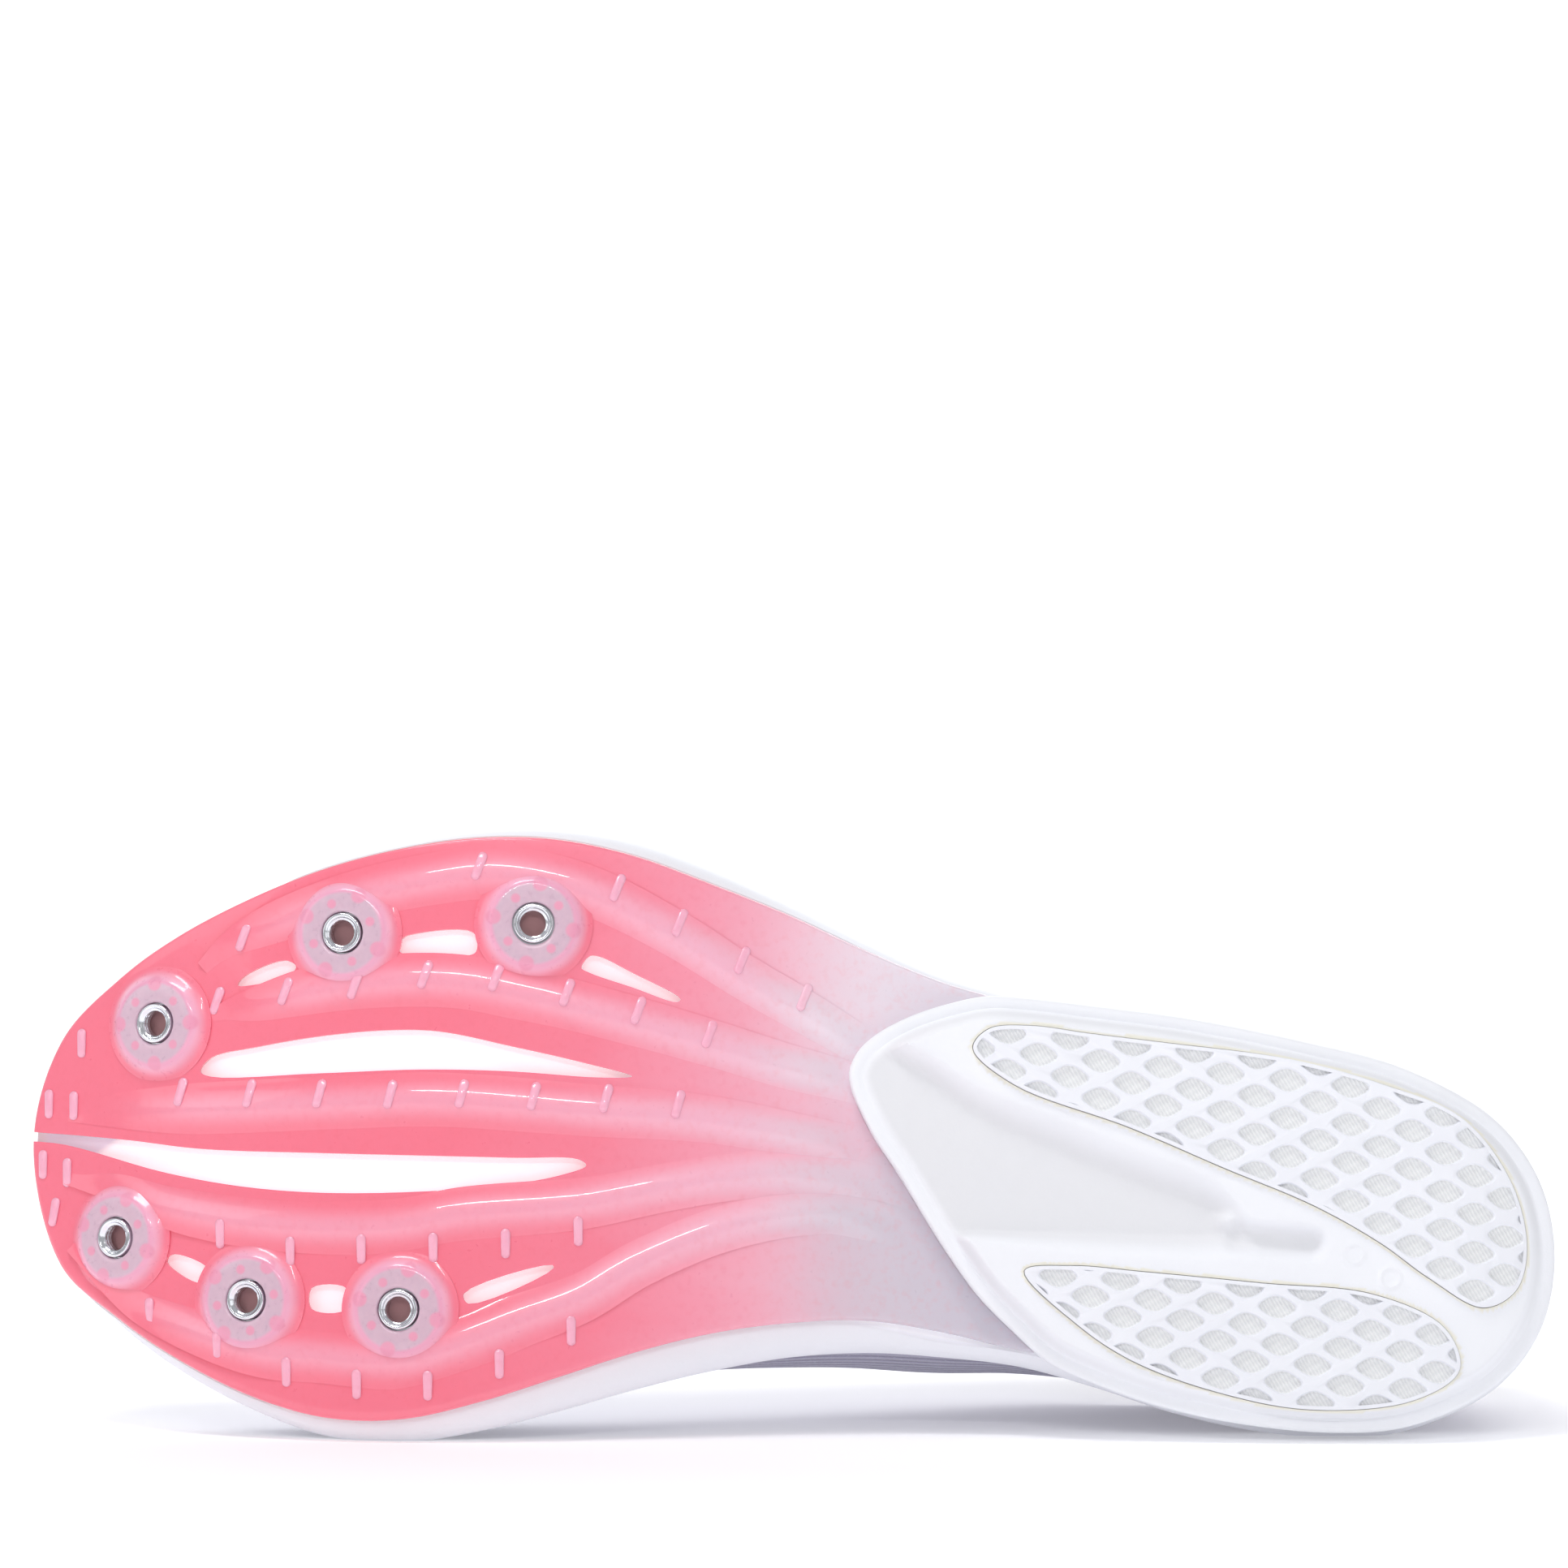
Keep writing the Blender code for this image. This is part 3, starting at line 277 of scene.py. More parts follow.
PLATE_EDGE = (
    # along, lateral, medial
    (0.020, 0.458, 0.458),
    (0.100, 0.800, 0.150),
    (0.200, 0.900, 0.160),
    (0.300, 0.960, 0.190),
    (0.350, 0.985, 0.198),
    (0.400, 0.949, 0.218),
    (0.450, 0.927, 0.222),
    (0.500, 0.920, 0.202),
    (0.550, 0.923, 0.175),
    (0.600, 0.950, 0.141),
    (0.650, 0.976, 0.101),
    (0.700, 0.979, 0.062),
    (0.750, 0.963, 0.035),
    (0.800, 0.933, 0.038),
    (0.850, 0.887, 0.074),
    (0.900, 0.827, 0.136),
    (0.940, 0.761, 0.202),
    (0.980, 0.663, 0.290),
    (1.000, 0.495, 0.495),
)
SOLE_HEIGHTS = (
    # along, arch, spring, foam
    (0.00, 1.00, 0.00, 1.00),
    (0.20, 1.00, 0.00, 1.00),
    (0.40, 1.00, 0.00, 0.98),
    (0.46, 1.00, 0.00, 0.95),
    (0.51, 0.80, 0.00, 0.90),
    (0.56, 0.55, 0.00, 0.85),
    (0.61, 0.33, 0.00, 0.81),
    (0.67, 0.18, 0.00, 0.77),
    (0.72, 0.15, 0.02, 0.74),
    (0.79, 0.15, 0.12, 0.69),
    (0.85, 0.15, 0.28, 0.63),
    (0.92, 0.15, 0.56, 0.57),
    (0.96, 0.15, 0.78, 0.53),
    (1.00, 0.15, 1.00, 0.50),
)
SPINE = (
    # along, across
    (0.125, 0.480),
    (0.350, 0.560),
    (0.550, 0.500),
    (0.700, 0.480),
    (0.905, 0.465),
)
# The foam's side, from its lower edge up: share of the way out, height, and how far it draws in
FOAM_SIDE = (
    # step, out, up, draw
    (0.0, 0.00, 0.00, 0.00),
    (1.0, 0.65, 0.22, 0.00),
    (2.0, 1.00, 0.52, 0.00),
    (3.0, 1.00, 0.80, 0.20),
    (4.0, 1.00, 1.00, 1.00),
)


def circle(count):
    """Evenly spaced turns round a full circle."""
    return np.linspace(0.0, 2 * math.pi, count, endpoint=False)


def unit(vectors):
    """The vectors at a length of 1."""
    return vectors / (np.linalg.norm(vectors, axis=-1, keepdims=True) + 1e-12)


def smooth_step(value):
    """Rises from 0 to 1 as the value does, level at both ends."""
    value = np.clip(value, 0.0, 1.0)
    return value * value * (3.0 - 2.0 * value)


def curve_through(places, values, at):
    """A cubic curve through the values, its slopes taken from their neighbours, level beyond the ends."""
    places, values = np.asarray(places, float), np.asarray(values, float)
    slopes = np.gradient(values, places)
    at = np.clip(at, places[0], places[-1])
    index = np.clip(np.searchsorted(places, at) - 1, 0, len(places) - 2)
    width = places[index + 1] - places[index]
    share = (at - places[index]) / width
    rise = smooth_step(share)
    value = values[index] * (1.0 - rise) + values[index + 1] * rise
    value += slopes[index] * width * share * (1.0 - share) ** 2
    return value - slopes[index + 1] * width * share**2 * (1.0 - share)


def column(table, index, along):
    """One column of a table of sections, read at a place along the shoe."""
    rows = np.array(table)
    return curve_through(rows[:, 0], rows[:, index], np.asarray(along) / LENGTH)


def local_width(along):
    """The width that shares across the shoe are taken of: the heel's behind, the ball's in front."""
    return HEEL_WIDTH + (BALL_WIDTH - HEEL_WIDTH) * smooth_step((along / LENGTH - 0.25) / 0.35)


def in_plan(points):
    """Shares of length and local width, as metres."""
    points = np.array(points, float)
    along = points[:, 0] * LENGTH
    return np.stack([along, points[:, 1] * local_width(along)], axis=1)


def closed_curve(points, steps):
    """Points on a smooth closed curve through the given ones, counterclockwise."""
    count = len(points)
    wrapped = np.concatenate([points[-3:], points, points[:3]])
    spans = np.sqrt(np.linalg.norm(np.diff(wrapped, axis=0), axis=1))
    place = np.concatenate([[0.0], np.cumsum(spans)])
    knots = place[3 : 4 + count]
    at = (knots[:-1, None] + np.diff(knots)[:, None] * np.arange(steps) / steps).ravel()
    curve = np.stack([curve_through(place, wrapped[:, axis], at) for axis in (0, 1)], axis=1)
    nexts = np.roll(curve, -1, axis=0)
    area = np.sum(curve[:, 0] * nexts[:, 1] - curve[:, 1] * nexts[:, 0])
    return curve if area > 0 else curve[::-1]


def edge_curve(table, steps=20):
    """The closed curve round a table of lateral and medial edges."""
    rows = np.array(table)
    return closed_curve(in_plan(np.concatenate([rows[:, [0, 1]], rows[-2:0:-1, [0, 2]]])), steps)


def spine_across(along):
    return column(SPINE, 1, along) * local_width(along)


class Rays:
    """Rays from the spine to the edge: parallel along the middle, fanned round both ends."""

    def __init__(self, first, last, middle, fan):
        turn = np.linspace(0.0, math.pi / 2, fan + 1, endpoint=False)
        half = [(first * LENGTH, -math.cos(t), math.sin(t)) for t in turn]
        half += [(along, 0.0, 1.0) for along in np.linspace(first, last, middle) * LENGTH]
        half += [(last * LENGTH, math.cos(t), math.sin(t)) for t in turn[::-1]]
        half = np.array(half)
        whole = np.concatenate([half, half[-2:0:-1]])
        self.side = np.concatenate([-np.ones(len(half)), np.ones(len(half) - 2)])
        self.starts = np.stack([whole[:, 0], spine_across(whole[:, 0])], axis=1)
        self.ways = np.stack([whole[:, 1], whole[:, 2] * self.side], axis=1)

    def reach(self, outline):
        """How far each ray runs before it meets the closed outline."""
        edges = np.roll(outline, -1, axis=0) - outline
        offset = outline[None] - self.starts[:, None]
        ways = self.ways[:, None]
        turn = ways[..., 0] * edges[None, :, 1] - ways[..., 1] * edges[None, :, 0]
        turn = np.where(np.abs(turn) < 1e-12, 1e-12, turn)
        distance = (offset[..., 0] * edges[None, :, 1] - offset[..., 1] * edges[None, :, 0]) / turn
        place = (offset[..., 0] * ways[..., 1] - offset[..., 1] * ways[..., 0]) / turn
        met = (place >= 0.0) & (place < 1.0) & (distance > 0.0)
        return np.where(met, distance, np.inf).min(axis=1)

    def plan(self, distance):
        return self.starts + self.ways * np.broadcast_to(distance, self.side.shape)[:, None]

    def ring(self, distance, height):
        """A closed ring of points at a distance along the rays; the height is a function of x."""
        plan = self.plan(distance)
        return np.column_stack([plan, height(plan[:, 0])])


def underside(along):
    """Height of the plate's flat underside over the ground."""
    return column(SOLE_HEIGHTS, 1, along) * ARCH_RISE + column(SOLE_HEIGHTS, 2, along) * TOE_SPRING


def foam_bottom(along):
    return underside(along) + PLATE + GAP


def foam_top(along):
    return foam_bottom(along) + column(SOLE_HEIGHTS, 3, along) * HEEL_FOAM


def laid(points):
    """Points of the upright shoe on the lying one: swung a little, laid on the medial side, rolled."""
    x, y, z = np.moveaxis(np.asarray(points, float), -1, 0)
    along = math.cos(SWING) * x - math.sin(SWING) * y
    across = math.sin(SWING) * x + math.cos(SWING) * y
    depth = math.cos(ROLL) * z + math.sin(ROLL) * across
    height = math.cos(ROLL) * across - math.sin(ROLL) * z
    return np.stack([-along, depth, height], axis=-1) + SHIFT


def grid_faces(rows, columns, wrap=True):
    """Squares between the rows of a grid; with wrap its last column joins the first."""
    here = np.arange(columns if wrap else columns - 1)
    after = (here + 1) % columns
    starts = np.arange(rows - 1)[:, None] * columns
    low = [starts + here, starts + after]
    return np.stack([low[0], low[1], low[1] + columns, low[0] + columns], axis=-1).reshape(-1, 4)


def cleaned(mesh):
    """Joins doubled points, drops slivers and turns the faces outwards."""
    clean = bmesh.new()
    clean.from_mesh(mesh)
    bmesh.ops.remove_doubles(clean, verts=clean.verts, dist=DOUBLES)
    bmesh.ops.dissolve_degenerate(clean, edges=clean.edges, dist=SLIVER)
    bmesh.ops.recalc_face_normals(clean, faces=clean.faces)
    clean.to_mesh(mesh)
    clean.free()


def add_piece(name, points, faces, finish, slot, stands_for=(), uv=None, marks=None, sharp=40.0):
    """A smooth mesh from upright points, laid down, flat on the floor where it meets it, and dressed."""
    mesh = bpy.data.meshes.new(name)
    resting = np.maximum(laid(np.reshape(points, (-1, 3))), (-np.inf, -np.inf, 0.0))
    mesh.from_pydata(resting.tolist(), [], [list(face) for face in faces])
    if uv is not None:
        corners = np.empty(len(mesh.loops), np.int32)
        mesh.loops.foreach_get("vertex_index", corners)
        layer = mesh.uv_layers.new(name="UVMap")
        layer.data.foreach_set("uv", np.asarray(uv, np.float32).reshape(-1, 2)[corners].ravel())
    for key, values in (marks or {}).items():
        layer = mesh.attributes.new(key, "FLOAT", "POINT")
        layer.data.foreach_set("value", np.asarray(values, np.float32).ravel())
    cleaned(mesh)
    mesh.shade_smooth()
    mesh.set_sharp_from_angle(angle=math.radians(sharp))
    for material in finish if isinstance(finish, tuple) else (finish,):
        mesh.materials.append(material.material)
    piece = bpy.data.objects.new(name, mesh)
    scene.collection.objects.link(piece)
    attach(piece, "root")
    if stands_for:
        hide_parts(*stands_for)
    return piece


RAYS = Rays(HEEL_CENTRE, TOE_CENTRE, 230, 44)
FOAM_REACH = RAYS.reach(edge_curve(FOAM_EDGE))
PLATE_REACH = RAYS.reach(edge_curve(PLATE_EDGE))
FEATHER_REACH = FOAM_REACH - FEATHER_INSET
UNDER_RINGS = 12


def foam_rings():
    """Rings from the middle of the underside, round the flared side, to the middle of the foot bed."""
    front = smooth_step((RAYS.plan(FOAM_REACH)[:, 0] / LENGTH - 0.38) / 0.10)
    round_plate = np.minimum(PLATE_REACH + FOAM_PAST_PLATE, FOAM_REACH - GAP)
    bottom = (FOAM_REACH - FOAM_UNDERCUT) * (1.0 - front) + round_plate * front

    def at(share):
        return lambda along: foam_bottom(along) + share * (foam_top(along) - foam_bottom(along))

    rings = [RAYS.ring(share * bottom, at(0.0)) for share in np.linspace(0.0, 1.0, UNDER_RINGS)[:-1]]
    side = np.array(FOAM_SIDE)
    for step in np.linspace(0.0, side[-1, 0], 26):
        out, up, draw = (curve_through(side[:, 0], side[:, index], step) for index in (1, 2, 3))
        rings.append(RAYS.ring(bottom + (FOAM_REACH - bottom) * out - draw * FOAM_ROUND, at(float(up))))
    for share in np.linspace(1.0, 0.0, 10):
        rings.append(RAYS.ring((FEATHER_REACH - MARGIN) * share, at(1.0)))
    return rings


foam = Finish("moulded_foam", Roughness=0.55, Specular_IOR_Level=0.35, Emission_Strength=0.42)
foam_x, _, foam_z = foam.axes(foam.place())
foam_cloud, foam_white = foam.cloud(45.0, (237, 238, 244), (244, 245, 250), 3.0)
# Painted glow: the foam's underside emits its own colour, so its face in the slots looks as bright as if lit
# through the translucent plate
foam_under = foam.mark("under")
# Painted shade: the foam's underside is painted grey at the narrow front of the plate's long slit
slit_front_shade = (foam_x - foam_z * 1.5).between(-0.2055, -0.2085) * foam_z.between(0.0630, 0.0610)
slit_front_shade = slit_front_shade * foam_under
foam_lit = foam.mix(slit_front_shade, foam_white, paint(206, 202, 218))
foam.link(Base_Color=foam_lit, Emission_Color=foam.mix(foam_under, paint(0, 0, 0), foam_lit))
foam_grain = foam.noise(foam.place(), 2600.0, 2.0)
foam.link(Normal=foam.bump(foam_grain, 0.00010, 0.35))
foam.link(Roughness=foam_cloud * 0.15 + 0.50)

foam_levels = foam_rings()
seen_below = np.arange(len(foam_levels)) < UNDER_RINGS - 1
add_piece(
    "midsole_foam", foam_levels, grid_faces(len(foam_levels), len(RAYS.side)), foam, "foam", ["midsole"],
    marks={"under": np.repeat(seen_below.astype(float), len(RAYS.side))},
)


# Plate: a stiff springy sheet of pink translucent plastic under the forefoot, bonded to the foam,
# with slots through it, rounded ribs along it, low bars across them and a boss round each well.
# Its pink fades to a pale lavender at the waist, where the heel piece covers its end; the grey next to the
# heel piece is painted shade.
PLATE_ROUND = 0.0006
RIB_HEIGHT = 0.0011
RIB_ROOT = 0.0006
RIB_FADE = 0.18
RIB_SUNK = 0.0001
HEEL_SEAM = 0.00005
BAR_LENGTH = 0.0055
BAR_WIDTH = 0.0018
BAR_PROUD = 0.0006
BAR_INSET = 0.0008
BAR_MARK = 1.2
STEEP = 0.45
BOSS_PROUD = 0.0020
FLANGE_RADIUS = 0.0078
RING_RADIUS = 0.0036
WELL_CLEAR = 0.0015

HEEL_EDGE = (
    # along, across
    (0.004, 0.458),
    (0.013, 0.640),
    (0.042, 0.795),
    (0.100, 0.925),
    (0.165, 0.995),
    (0.240, 1.055),
    (0.300, 1.055),
    (0.345, 1.008),
    (0.371, 0.967),
    (0.394, 0.912),
    (0.420, 0.843),
    (0.443, 0.773),
    (0.456, 0.720),
    (0.461, 0.671),
    (0.447, 0.582),
    (0.430, 0.520),
    (0.401, 0.396),
    (0.378, 0.305),
    (0.358, 0.245),
    (0.334, 0.178),
    (0.303, 0.130),
    (0.264, 0.080),
    (0.214, 0.036),
    (0.150, 0.010),
    (0.100, 0.026),
    (0.045, 0.125),
    (0.014, 0.275),
)
# Slots: closed outlines, along and across
SLOTS = {
    "toe": (
        (1.020, 0.5130), (0.989, 0.5085), (0.934, 0.494), (0.884, 0.477), (0.803, 0.467), (0.679, 0.457),
        (0.636, 0.454), (0.631, 0.444), (0.645, 0.430), (0.688, 0.411), (0.781, 0.401), (0.846, 0.411),
        (0.906, 0.438), (0.977, 0.4885), (1.020, 0.5045),
    ),
    "ball": (
        (0.884, 0.604), (0.877, 0.626), (0.846, 0.642), (0.803, 0.658), (0.759, 0.666), (0.726, 0.663),
        (0.679, 0.638), (0.634, 0.612), (0.601, 0.589), (0.623, 0.587), (0.679, 0.597), (0.737, 0.601),
        (0.803, 0.597), (0.877, 0.595),
    ),
    "lateral_front": (
        (0.859, 0.744), (0.855, 0.758), (0.827, 0.783), (0.820, 0.772), (0.825, 0.758), (0.851, 0.743),
    ),
    "lateral_middle": (
        (0.753, 0.798), (0.750, 0.816), (0.742, 0.823), (0.704, 0.824), (0.702, 0.793), (0.708, 0.786),
        (0.748, 0.789),
    ),
    "lateral_rear": (
        (0.634, 0.766), (0.629, 0.785), (0.623, 0.785), (0.601, 0.758), (0.570, 0.721), (0.572, 0.715),
        (0.601, 0.734), (0.629, 0.758),
    ),
    "medial_front": ((0.906, 0.297), (0.901, 0.305), (0.878, 0.280), (0.883, 0.258), (0.904, 0.286)),
    "medial_middle": ((0.809, 0.248), (0.786, 0.247), (0.787, 0.212), (0.809, 0.214)),
    "medial_rear": ((0.710, 0.237), (0.653, 0.283), (0.652, 0.278), (0.707, 0.221)),
}
# Centre lines of the ribs, along and across, from the toe back to the heel piece
RIBS = {
    "lateral": (
        (0.879, 0.762), (0.855, 0.813), (0.794, 0.874), (0.725, 0.913), (0.688, 0.922), (0.635, 0.894),
        (0.575, 0.823), (0.533, 0.779), (0.492, 0.755), (0.462, 0.740),
        (0.420, 0.722),
    ),
    "lateral_inner": (
        (0.879, 0.676), (0.841, 0.709), (0.800, 0.734), (0.748, 0.747), (0.710, 0.743), (0.673, 0.724),
        (0.635, 0.700), (0.560, 0.656), (0.503, 0.648), (0.466, 0.658),
        (0.425, 0.668),
    ),
    "middle": (
        (0.975, 0.553), (0.898, 0.543), (0.785, 0.549), (0.725, 0.552), (0.635, 0.534), (0.560, 0.527),
        (0.485, 0.535), (0.440, 0.548),
    ),
    "medial_inner": (
        (0.975, 0.449), (0.936, 0.421), (0.898, 0.383), (0.841, 0.355), (0.785, 0.345), (0.748, 0.349),
        (0.710, 0.366), (0.635, 0.383), (0.578, 0.413), (0.522, 0.450), (0.466, 0.476),
        (0.420, 0.492),
    ),
    "medial": (
        (0.968, 0.332), (0.924, 0.232), (0.886, 0.185), (0.841, 0.147), (0.804, 0.138), (0.748, 0.128),
        (0.710, 0.156), (0.673, 0.194), (0.635, 0.232), (0.597, 0.289), (0.541, 0.355), (0.485, 0.405),
        (0.452, 0.412), (0.405, 0.422),
    ),
}
# Half widths of a rib along its way, front end to rear end, in metres
RIB_HALF = (0.0030, 0.0048, 0.0050, 0.0050, 0.0048, 0.0044, 0.0036)
# Rows of low bars: first and last place along, lean from square, and each bar's place across
BAR_ROWS = (
    (0.2488, 0.1571, 20.0, (0.0814, 0.0829, 0.0837, 0.0855, 0.0849, 0.0821, 0.0788, 0.0745)),
    (0.2557, 0.1629, 15.0, (0.0646, 0.0641, 0.0638, 0.0635, 0.0635, 0.0630, 0.0626, 0.0615)),
    (0.1740, 0.1395, 22.0, (0.1015, 0.0951, 0.0882, 0.0814)),
    (0.2479, 0.1813, 0.0, (0.0382, 0.0348, 0.0351, 0.0353, 0.0360, 0.0382)),
    (0.2615, 0.1826, 0.0, (0.0238, 0.0176, 0.0127, 0.0104, 0.0101, 0.0140, 0.0200)),
    (0.2438, 0.1995, 20.0, (0.0931, 0.1055)),
    (0.2827, 0.2769, 0.0, (0.0635, 0.0626)),
    (0.2839, 0.2781, 0.0, (0.0516, 0.0501)),
    (0.2754, 0.2754, 0.0, (0.0743,)),
    (0.2819, 0.2819, 10.0, (0.0421,)),
)
# Wells: along, across, and the turn of the pattern that shows through the boss, in degrees
WELLS = {
    "spike_well_lateral_1": (0.912, 0.684, 45.0),
    "spike_well_lateral_2": (0.788, 0.825, 20.0),
    "spike_well_lateral_3": (0.665, 0.837, 35.0),
    "spike_well_medial_1": (0.938, 0.333, 25.0),
    "spike_well_medial_2": (0.850, 0.229, 10.0),
    "spike_well_medial_3": (0.751, 0.212, 30.0),
}


def smooth_path(points, count):
    """Evenly placed points on an open smooth curve through the given ones."""
    steps = np.sqrt(np.linalg.norm(np.diff(points, axis=0), axis=1))
    place = np.concatenate([[0.0], np.cumsum(steps)])
    at = np.linspace(0.0, place[-1], count)
    return np.stack([curve_through(place, points[:, axis], at) for axis in (0, 1)], axis=1)


def capped(rings):
    """Points and faces of a closed form over rings of as many points each, its first and last filled."""
    rows, count = len(rings), len(rings[0])
    caps = [list(range(count)), list(range((rows - 1) * count, rows * count))]
    return np.reshape(rings, (-1, 3)), grid_faces(rows, count).tolist() + caps


def level(plan, height):
    """Points of a plan, all at one height."""
    return np.column_stack([plan, np.full(len(plan), height)])


def prism(outline, low, high):
    """An upright block over a closed outline."""
    return capped([level(outline, low), level(outline, high)])


def rounded(radius, steps, turns=math.pi / 2):
    """The steps of a round edge: how far each lies in from the side, and how far up."""
    turn = np.linspace(0.0, turns, steps)
    return zip(radius * (1.0 - np.sin(turn)), radius * (1.0 - np.cos(turn)))


def joined(solids):
    """Several solids as one list of points and one of faces."""
    starts = np.cumsum([0] + [len(points) for points, _ in solids])
    faces = [[index + start for index in face] for (_, cut), start in zip(solids, starts) for face in cut]
    return np.concatenate([points for points, _ in solids]), faces


def mesh_parts(mesh):
    """The points and faces of a mesh."""
    places = np.empty(len(mesh.vertices) * 3, np.float32)
    mesh.vertices.foreach_get("co", places)
    return places.reshape(-1, 3), [tuple(polygon.vertices) for polygon in mesh.polygons]


def combined(first, second, operation="DIFFERENCE"):
    """The first solid less the second, or what both share, as points and faces."""
    holders = []
    for name, (points, faces) in (("body", first), ("knife", second)):
        mesh = bpy.data.meshes.new(name)
        mesh.from_pydata(np.asarray(points).tolist(), [], [list(face) for face in faces])
        cleaned(mesh)
        holders.append(bpy.data.objects.new(name, mesh))
        scene.collection.objects.link(holders[-1])
    body, knife = holders
    cut = body.modifiers.new("cut", "BOOLEAN")
    cut.object = knife
    cut.operation = operation
    cut.solver = "EXACT"
    result = bpy.data.meshes.new_from_object(body.evaluated_get(bpy.context.evaluated_depsgraph_get()))
    bpy.data.objects.remove(body)
    bpy.data.objects.remove(knife)
    return mesh_parts(result)


def well_frame(share):
    """Where a well meets the plate's underside, and how far the toe spring tips it there."""
    plan = in_plan([share])[0]
    step = 0.002
    slope = (underside(plan[0] + step) - underside(plan[0] - step)) / (2 * step)
    return plan, float(underside(plan[0])), math.atan(float(slope))


def on_well(place, radius, turn, height):
    """Turned points on a well's axis, from radii, turns and heights, put in place on the plate."""
    plan, base, tip = well_frame(place[:2])
    x = radius * np.cos(turn)
    y = radius * np.sin(turn)
    along = plan[0] + math.cos(tip) * x - math.sin(tip) * height
    up = base + math.sin(tip) * x + math.cos(tip) * height
    return np.stack([along, plan[1] + y, up], axis=-1)


class Rib:
    """A rib's centre line, its half width and its rise at each station."""

    def __init__(self, points, stations=140):
        self.path = smooth_path(in_plan(points), stations)
        ahead = unit(np.gradient(self.path, axis=0))
        self.out = np.stack([ahead[:, 1], -ahead[:, 0]], axis=1)
        share = np.linspace(0.0, 1.0, stations)
        self.half = curve_through(np.linspace(0.0, 1.0, len(RIB_HALF)), RIB_HALF, share)
        self.rise = RIB_HEIGHT * smooth_step(share / RIB_FADE) * smooth_step((1.0 - share) / RIB_FADE)

    @staticmethod
    def bell(offset):
        """The rib's section: 1 on the crest, falling as a rounded bell to 0 at its foot."""
        return np.clip(1.0 - offset**2, 0.0, 1.0) ** 1.4

    def surface(self):
        """Points across each station, foot to foot, with a root sunk in the plate, and their bells."""
        offsets = np.concatenate([[-1.0], np.linspace(-1.0, 1.0, 19), [1.0]])
        root = np.zeros(len(offsets))
        root[[0, -1]] = RIB_ROOT
        bell = self.bell(offsets)
        plan = self.path[:, None] + self.out[:, None] * (offsets * self.half[:, None])[..., None]
        rise = self.rise[:, None] * (1.0 + RIB_SUNK / RIB_HEIGHT) - RIB_SUNK
        height = underside(self.path[:, 0])[:, None] + root - bell * rise
        centres = in_plan([(along, across) for along, across, _ in WELLS.values()])
        away = np.linalg.norm(plan[:, :, None] - centres, axis=3).min(axis=2)
        height += WELL_CLEAR * (1.0 - smooth_step((away - 0.8 * FLANGE_RADIUS) / (0.3 * FLANGE_RADIUS)))
        points = np.concatenate([plan, height[..., None]], axis=2)
        return points, np.broadcast_to(bell, height.shape) * (self.rise / RIB_HEIGHT)[:, None]

    def height_at(self, plan):
        """How high the rib stands over the plate's flat at points of the plan."""
        gap = np.linalg.norm(plan[:, None] - self.path[None], axis=2)
        nearest = gap.argmin(axis=1)
        return self.bell(np.minimum(gap.min(axis=1) / self.half[nearest], 1.0)) * self.rise[nearest]


plate = Finish(
    "pink_plate",
    IOR=1.5,
    Coat_Weight=0.9,
    Coat_Roughness=0.05,
    Subsurface_Weight=0.12,
    Subsurface_Radius=(0.004, 0.0015, 0.0015),
)
plate_x, _, plate_z = plate.axes(plate.place())
plate_rib = plate.mark("rib")
plate_long = plate.node("Mapping", None, {"Vector": plate.place(), "Scale": (12.0, 1.0, 120.0)})
plate_streak = plate.noise(plate_long, 1.0)
plate_fade = plate_x + plate_streak * 0.016 - 0.014 + plate_rib * 0.014
# The pink fades along the shoe to a pale lavender; the last, greyer stop is painted shade where the heel
# piece shades the plate's end
plate_base = plate.node(
    "ValToRGB",
    {
        "stops": (
            (0.05, paint(250, 121, 143)),
            (0.25, paint(251, 131, 153)),
            (0.40, paint(251, 155, 176)),
            (0.54, paint(246, 182, 200)),
            (0.68, paint(222, 204, 216)),
            (0.82, paint(206, 200, 213)),
        )
    },
    {"Fac": (plate_fade + 0.075) / 0.130},
)
plate_pale = plate.mix(plate_x.between(-0.014, 0.018), paint(248, 184, 206), paint(244, 226, 236))
plate_crest = plate.mix((plate_rib * plate_rib).maths("MINIMUM", 1.0) * 0.55, plate_base, plate_pale)
plate_lit = plate.mix(plate_rib.between(1.05, 0.95 * BAR_MARK) * 0.9, plate_crest, paint(250, 178, 202))
# Painted light at the waist: a painted highlight above its middle, and painted shade that greys it below
plate_rear = plate_x.between(-0.010, 0.015)
plate_lit_above = plate.mix(plate_z.between(0.055, 0.080) * plate_rear * 0.45, plate_lit, paint(250, 240, 248))
plate_shaded_below = plate.mix(plate_z.between(0.055, 0.035) * plate_rear * 0.55, plate_lit_above, paint(204, 198, 209))
plate_mottle = plate.noise(plate.place(), 700.0, 3.0)
plate_colour = plate.mix(plate_mottle.between(0.45, 0.8) * 0.12, plate_shaded_below, paint(235, 90, 105))
plate.link(Base_Color=plate_colour, Roughness=plate_mottle * 0.12 + 0.24)
plate.link(Normal=plate.bump(plate_mottle, 0.00006, 0.25))

# The walls of the slots and the plate's own edge, where the pink is seen through its depth
plate_edge = Finish("pink_plate_edge", Base_Color=paint(240, 70, 78), Roughness=0.3, Coat_Weight=0.4)
edge_x = plate_edge.axes(plate_edge.place())[0]
_, edge_colour = plate_edge.cloud(300.0, (246, 88, 92), (232, 70, 80))
plate_edge.link(Base_Color=plate_edge.mix(edge_x.between(-0.02, 0.03), edge_colour, paint(206, 190, 206)))

PLATE_RAYS = Rays(0.31, TOE_CENTRE, 190, 44)
plate_outline = edge_curve(PLATE_EDGE)
plate_reach = PLATE_RAYS.reach(plate_outline)
heel_outline = closed_curve(in_plan(HEEL_EDGE), 8)
ribs = {name: Rib(points) for name, points in RIBS.items()}


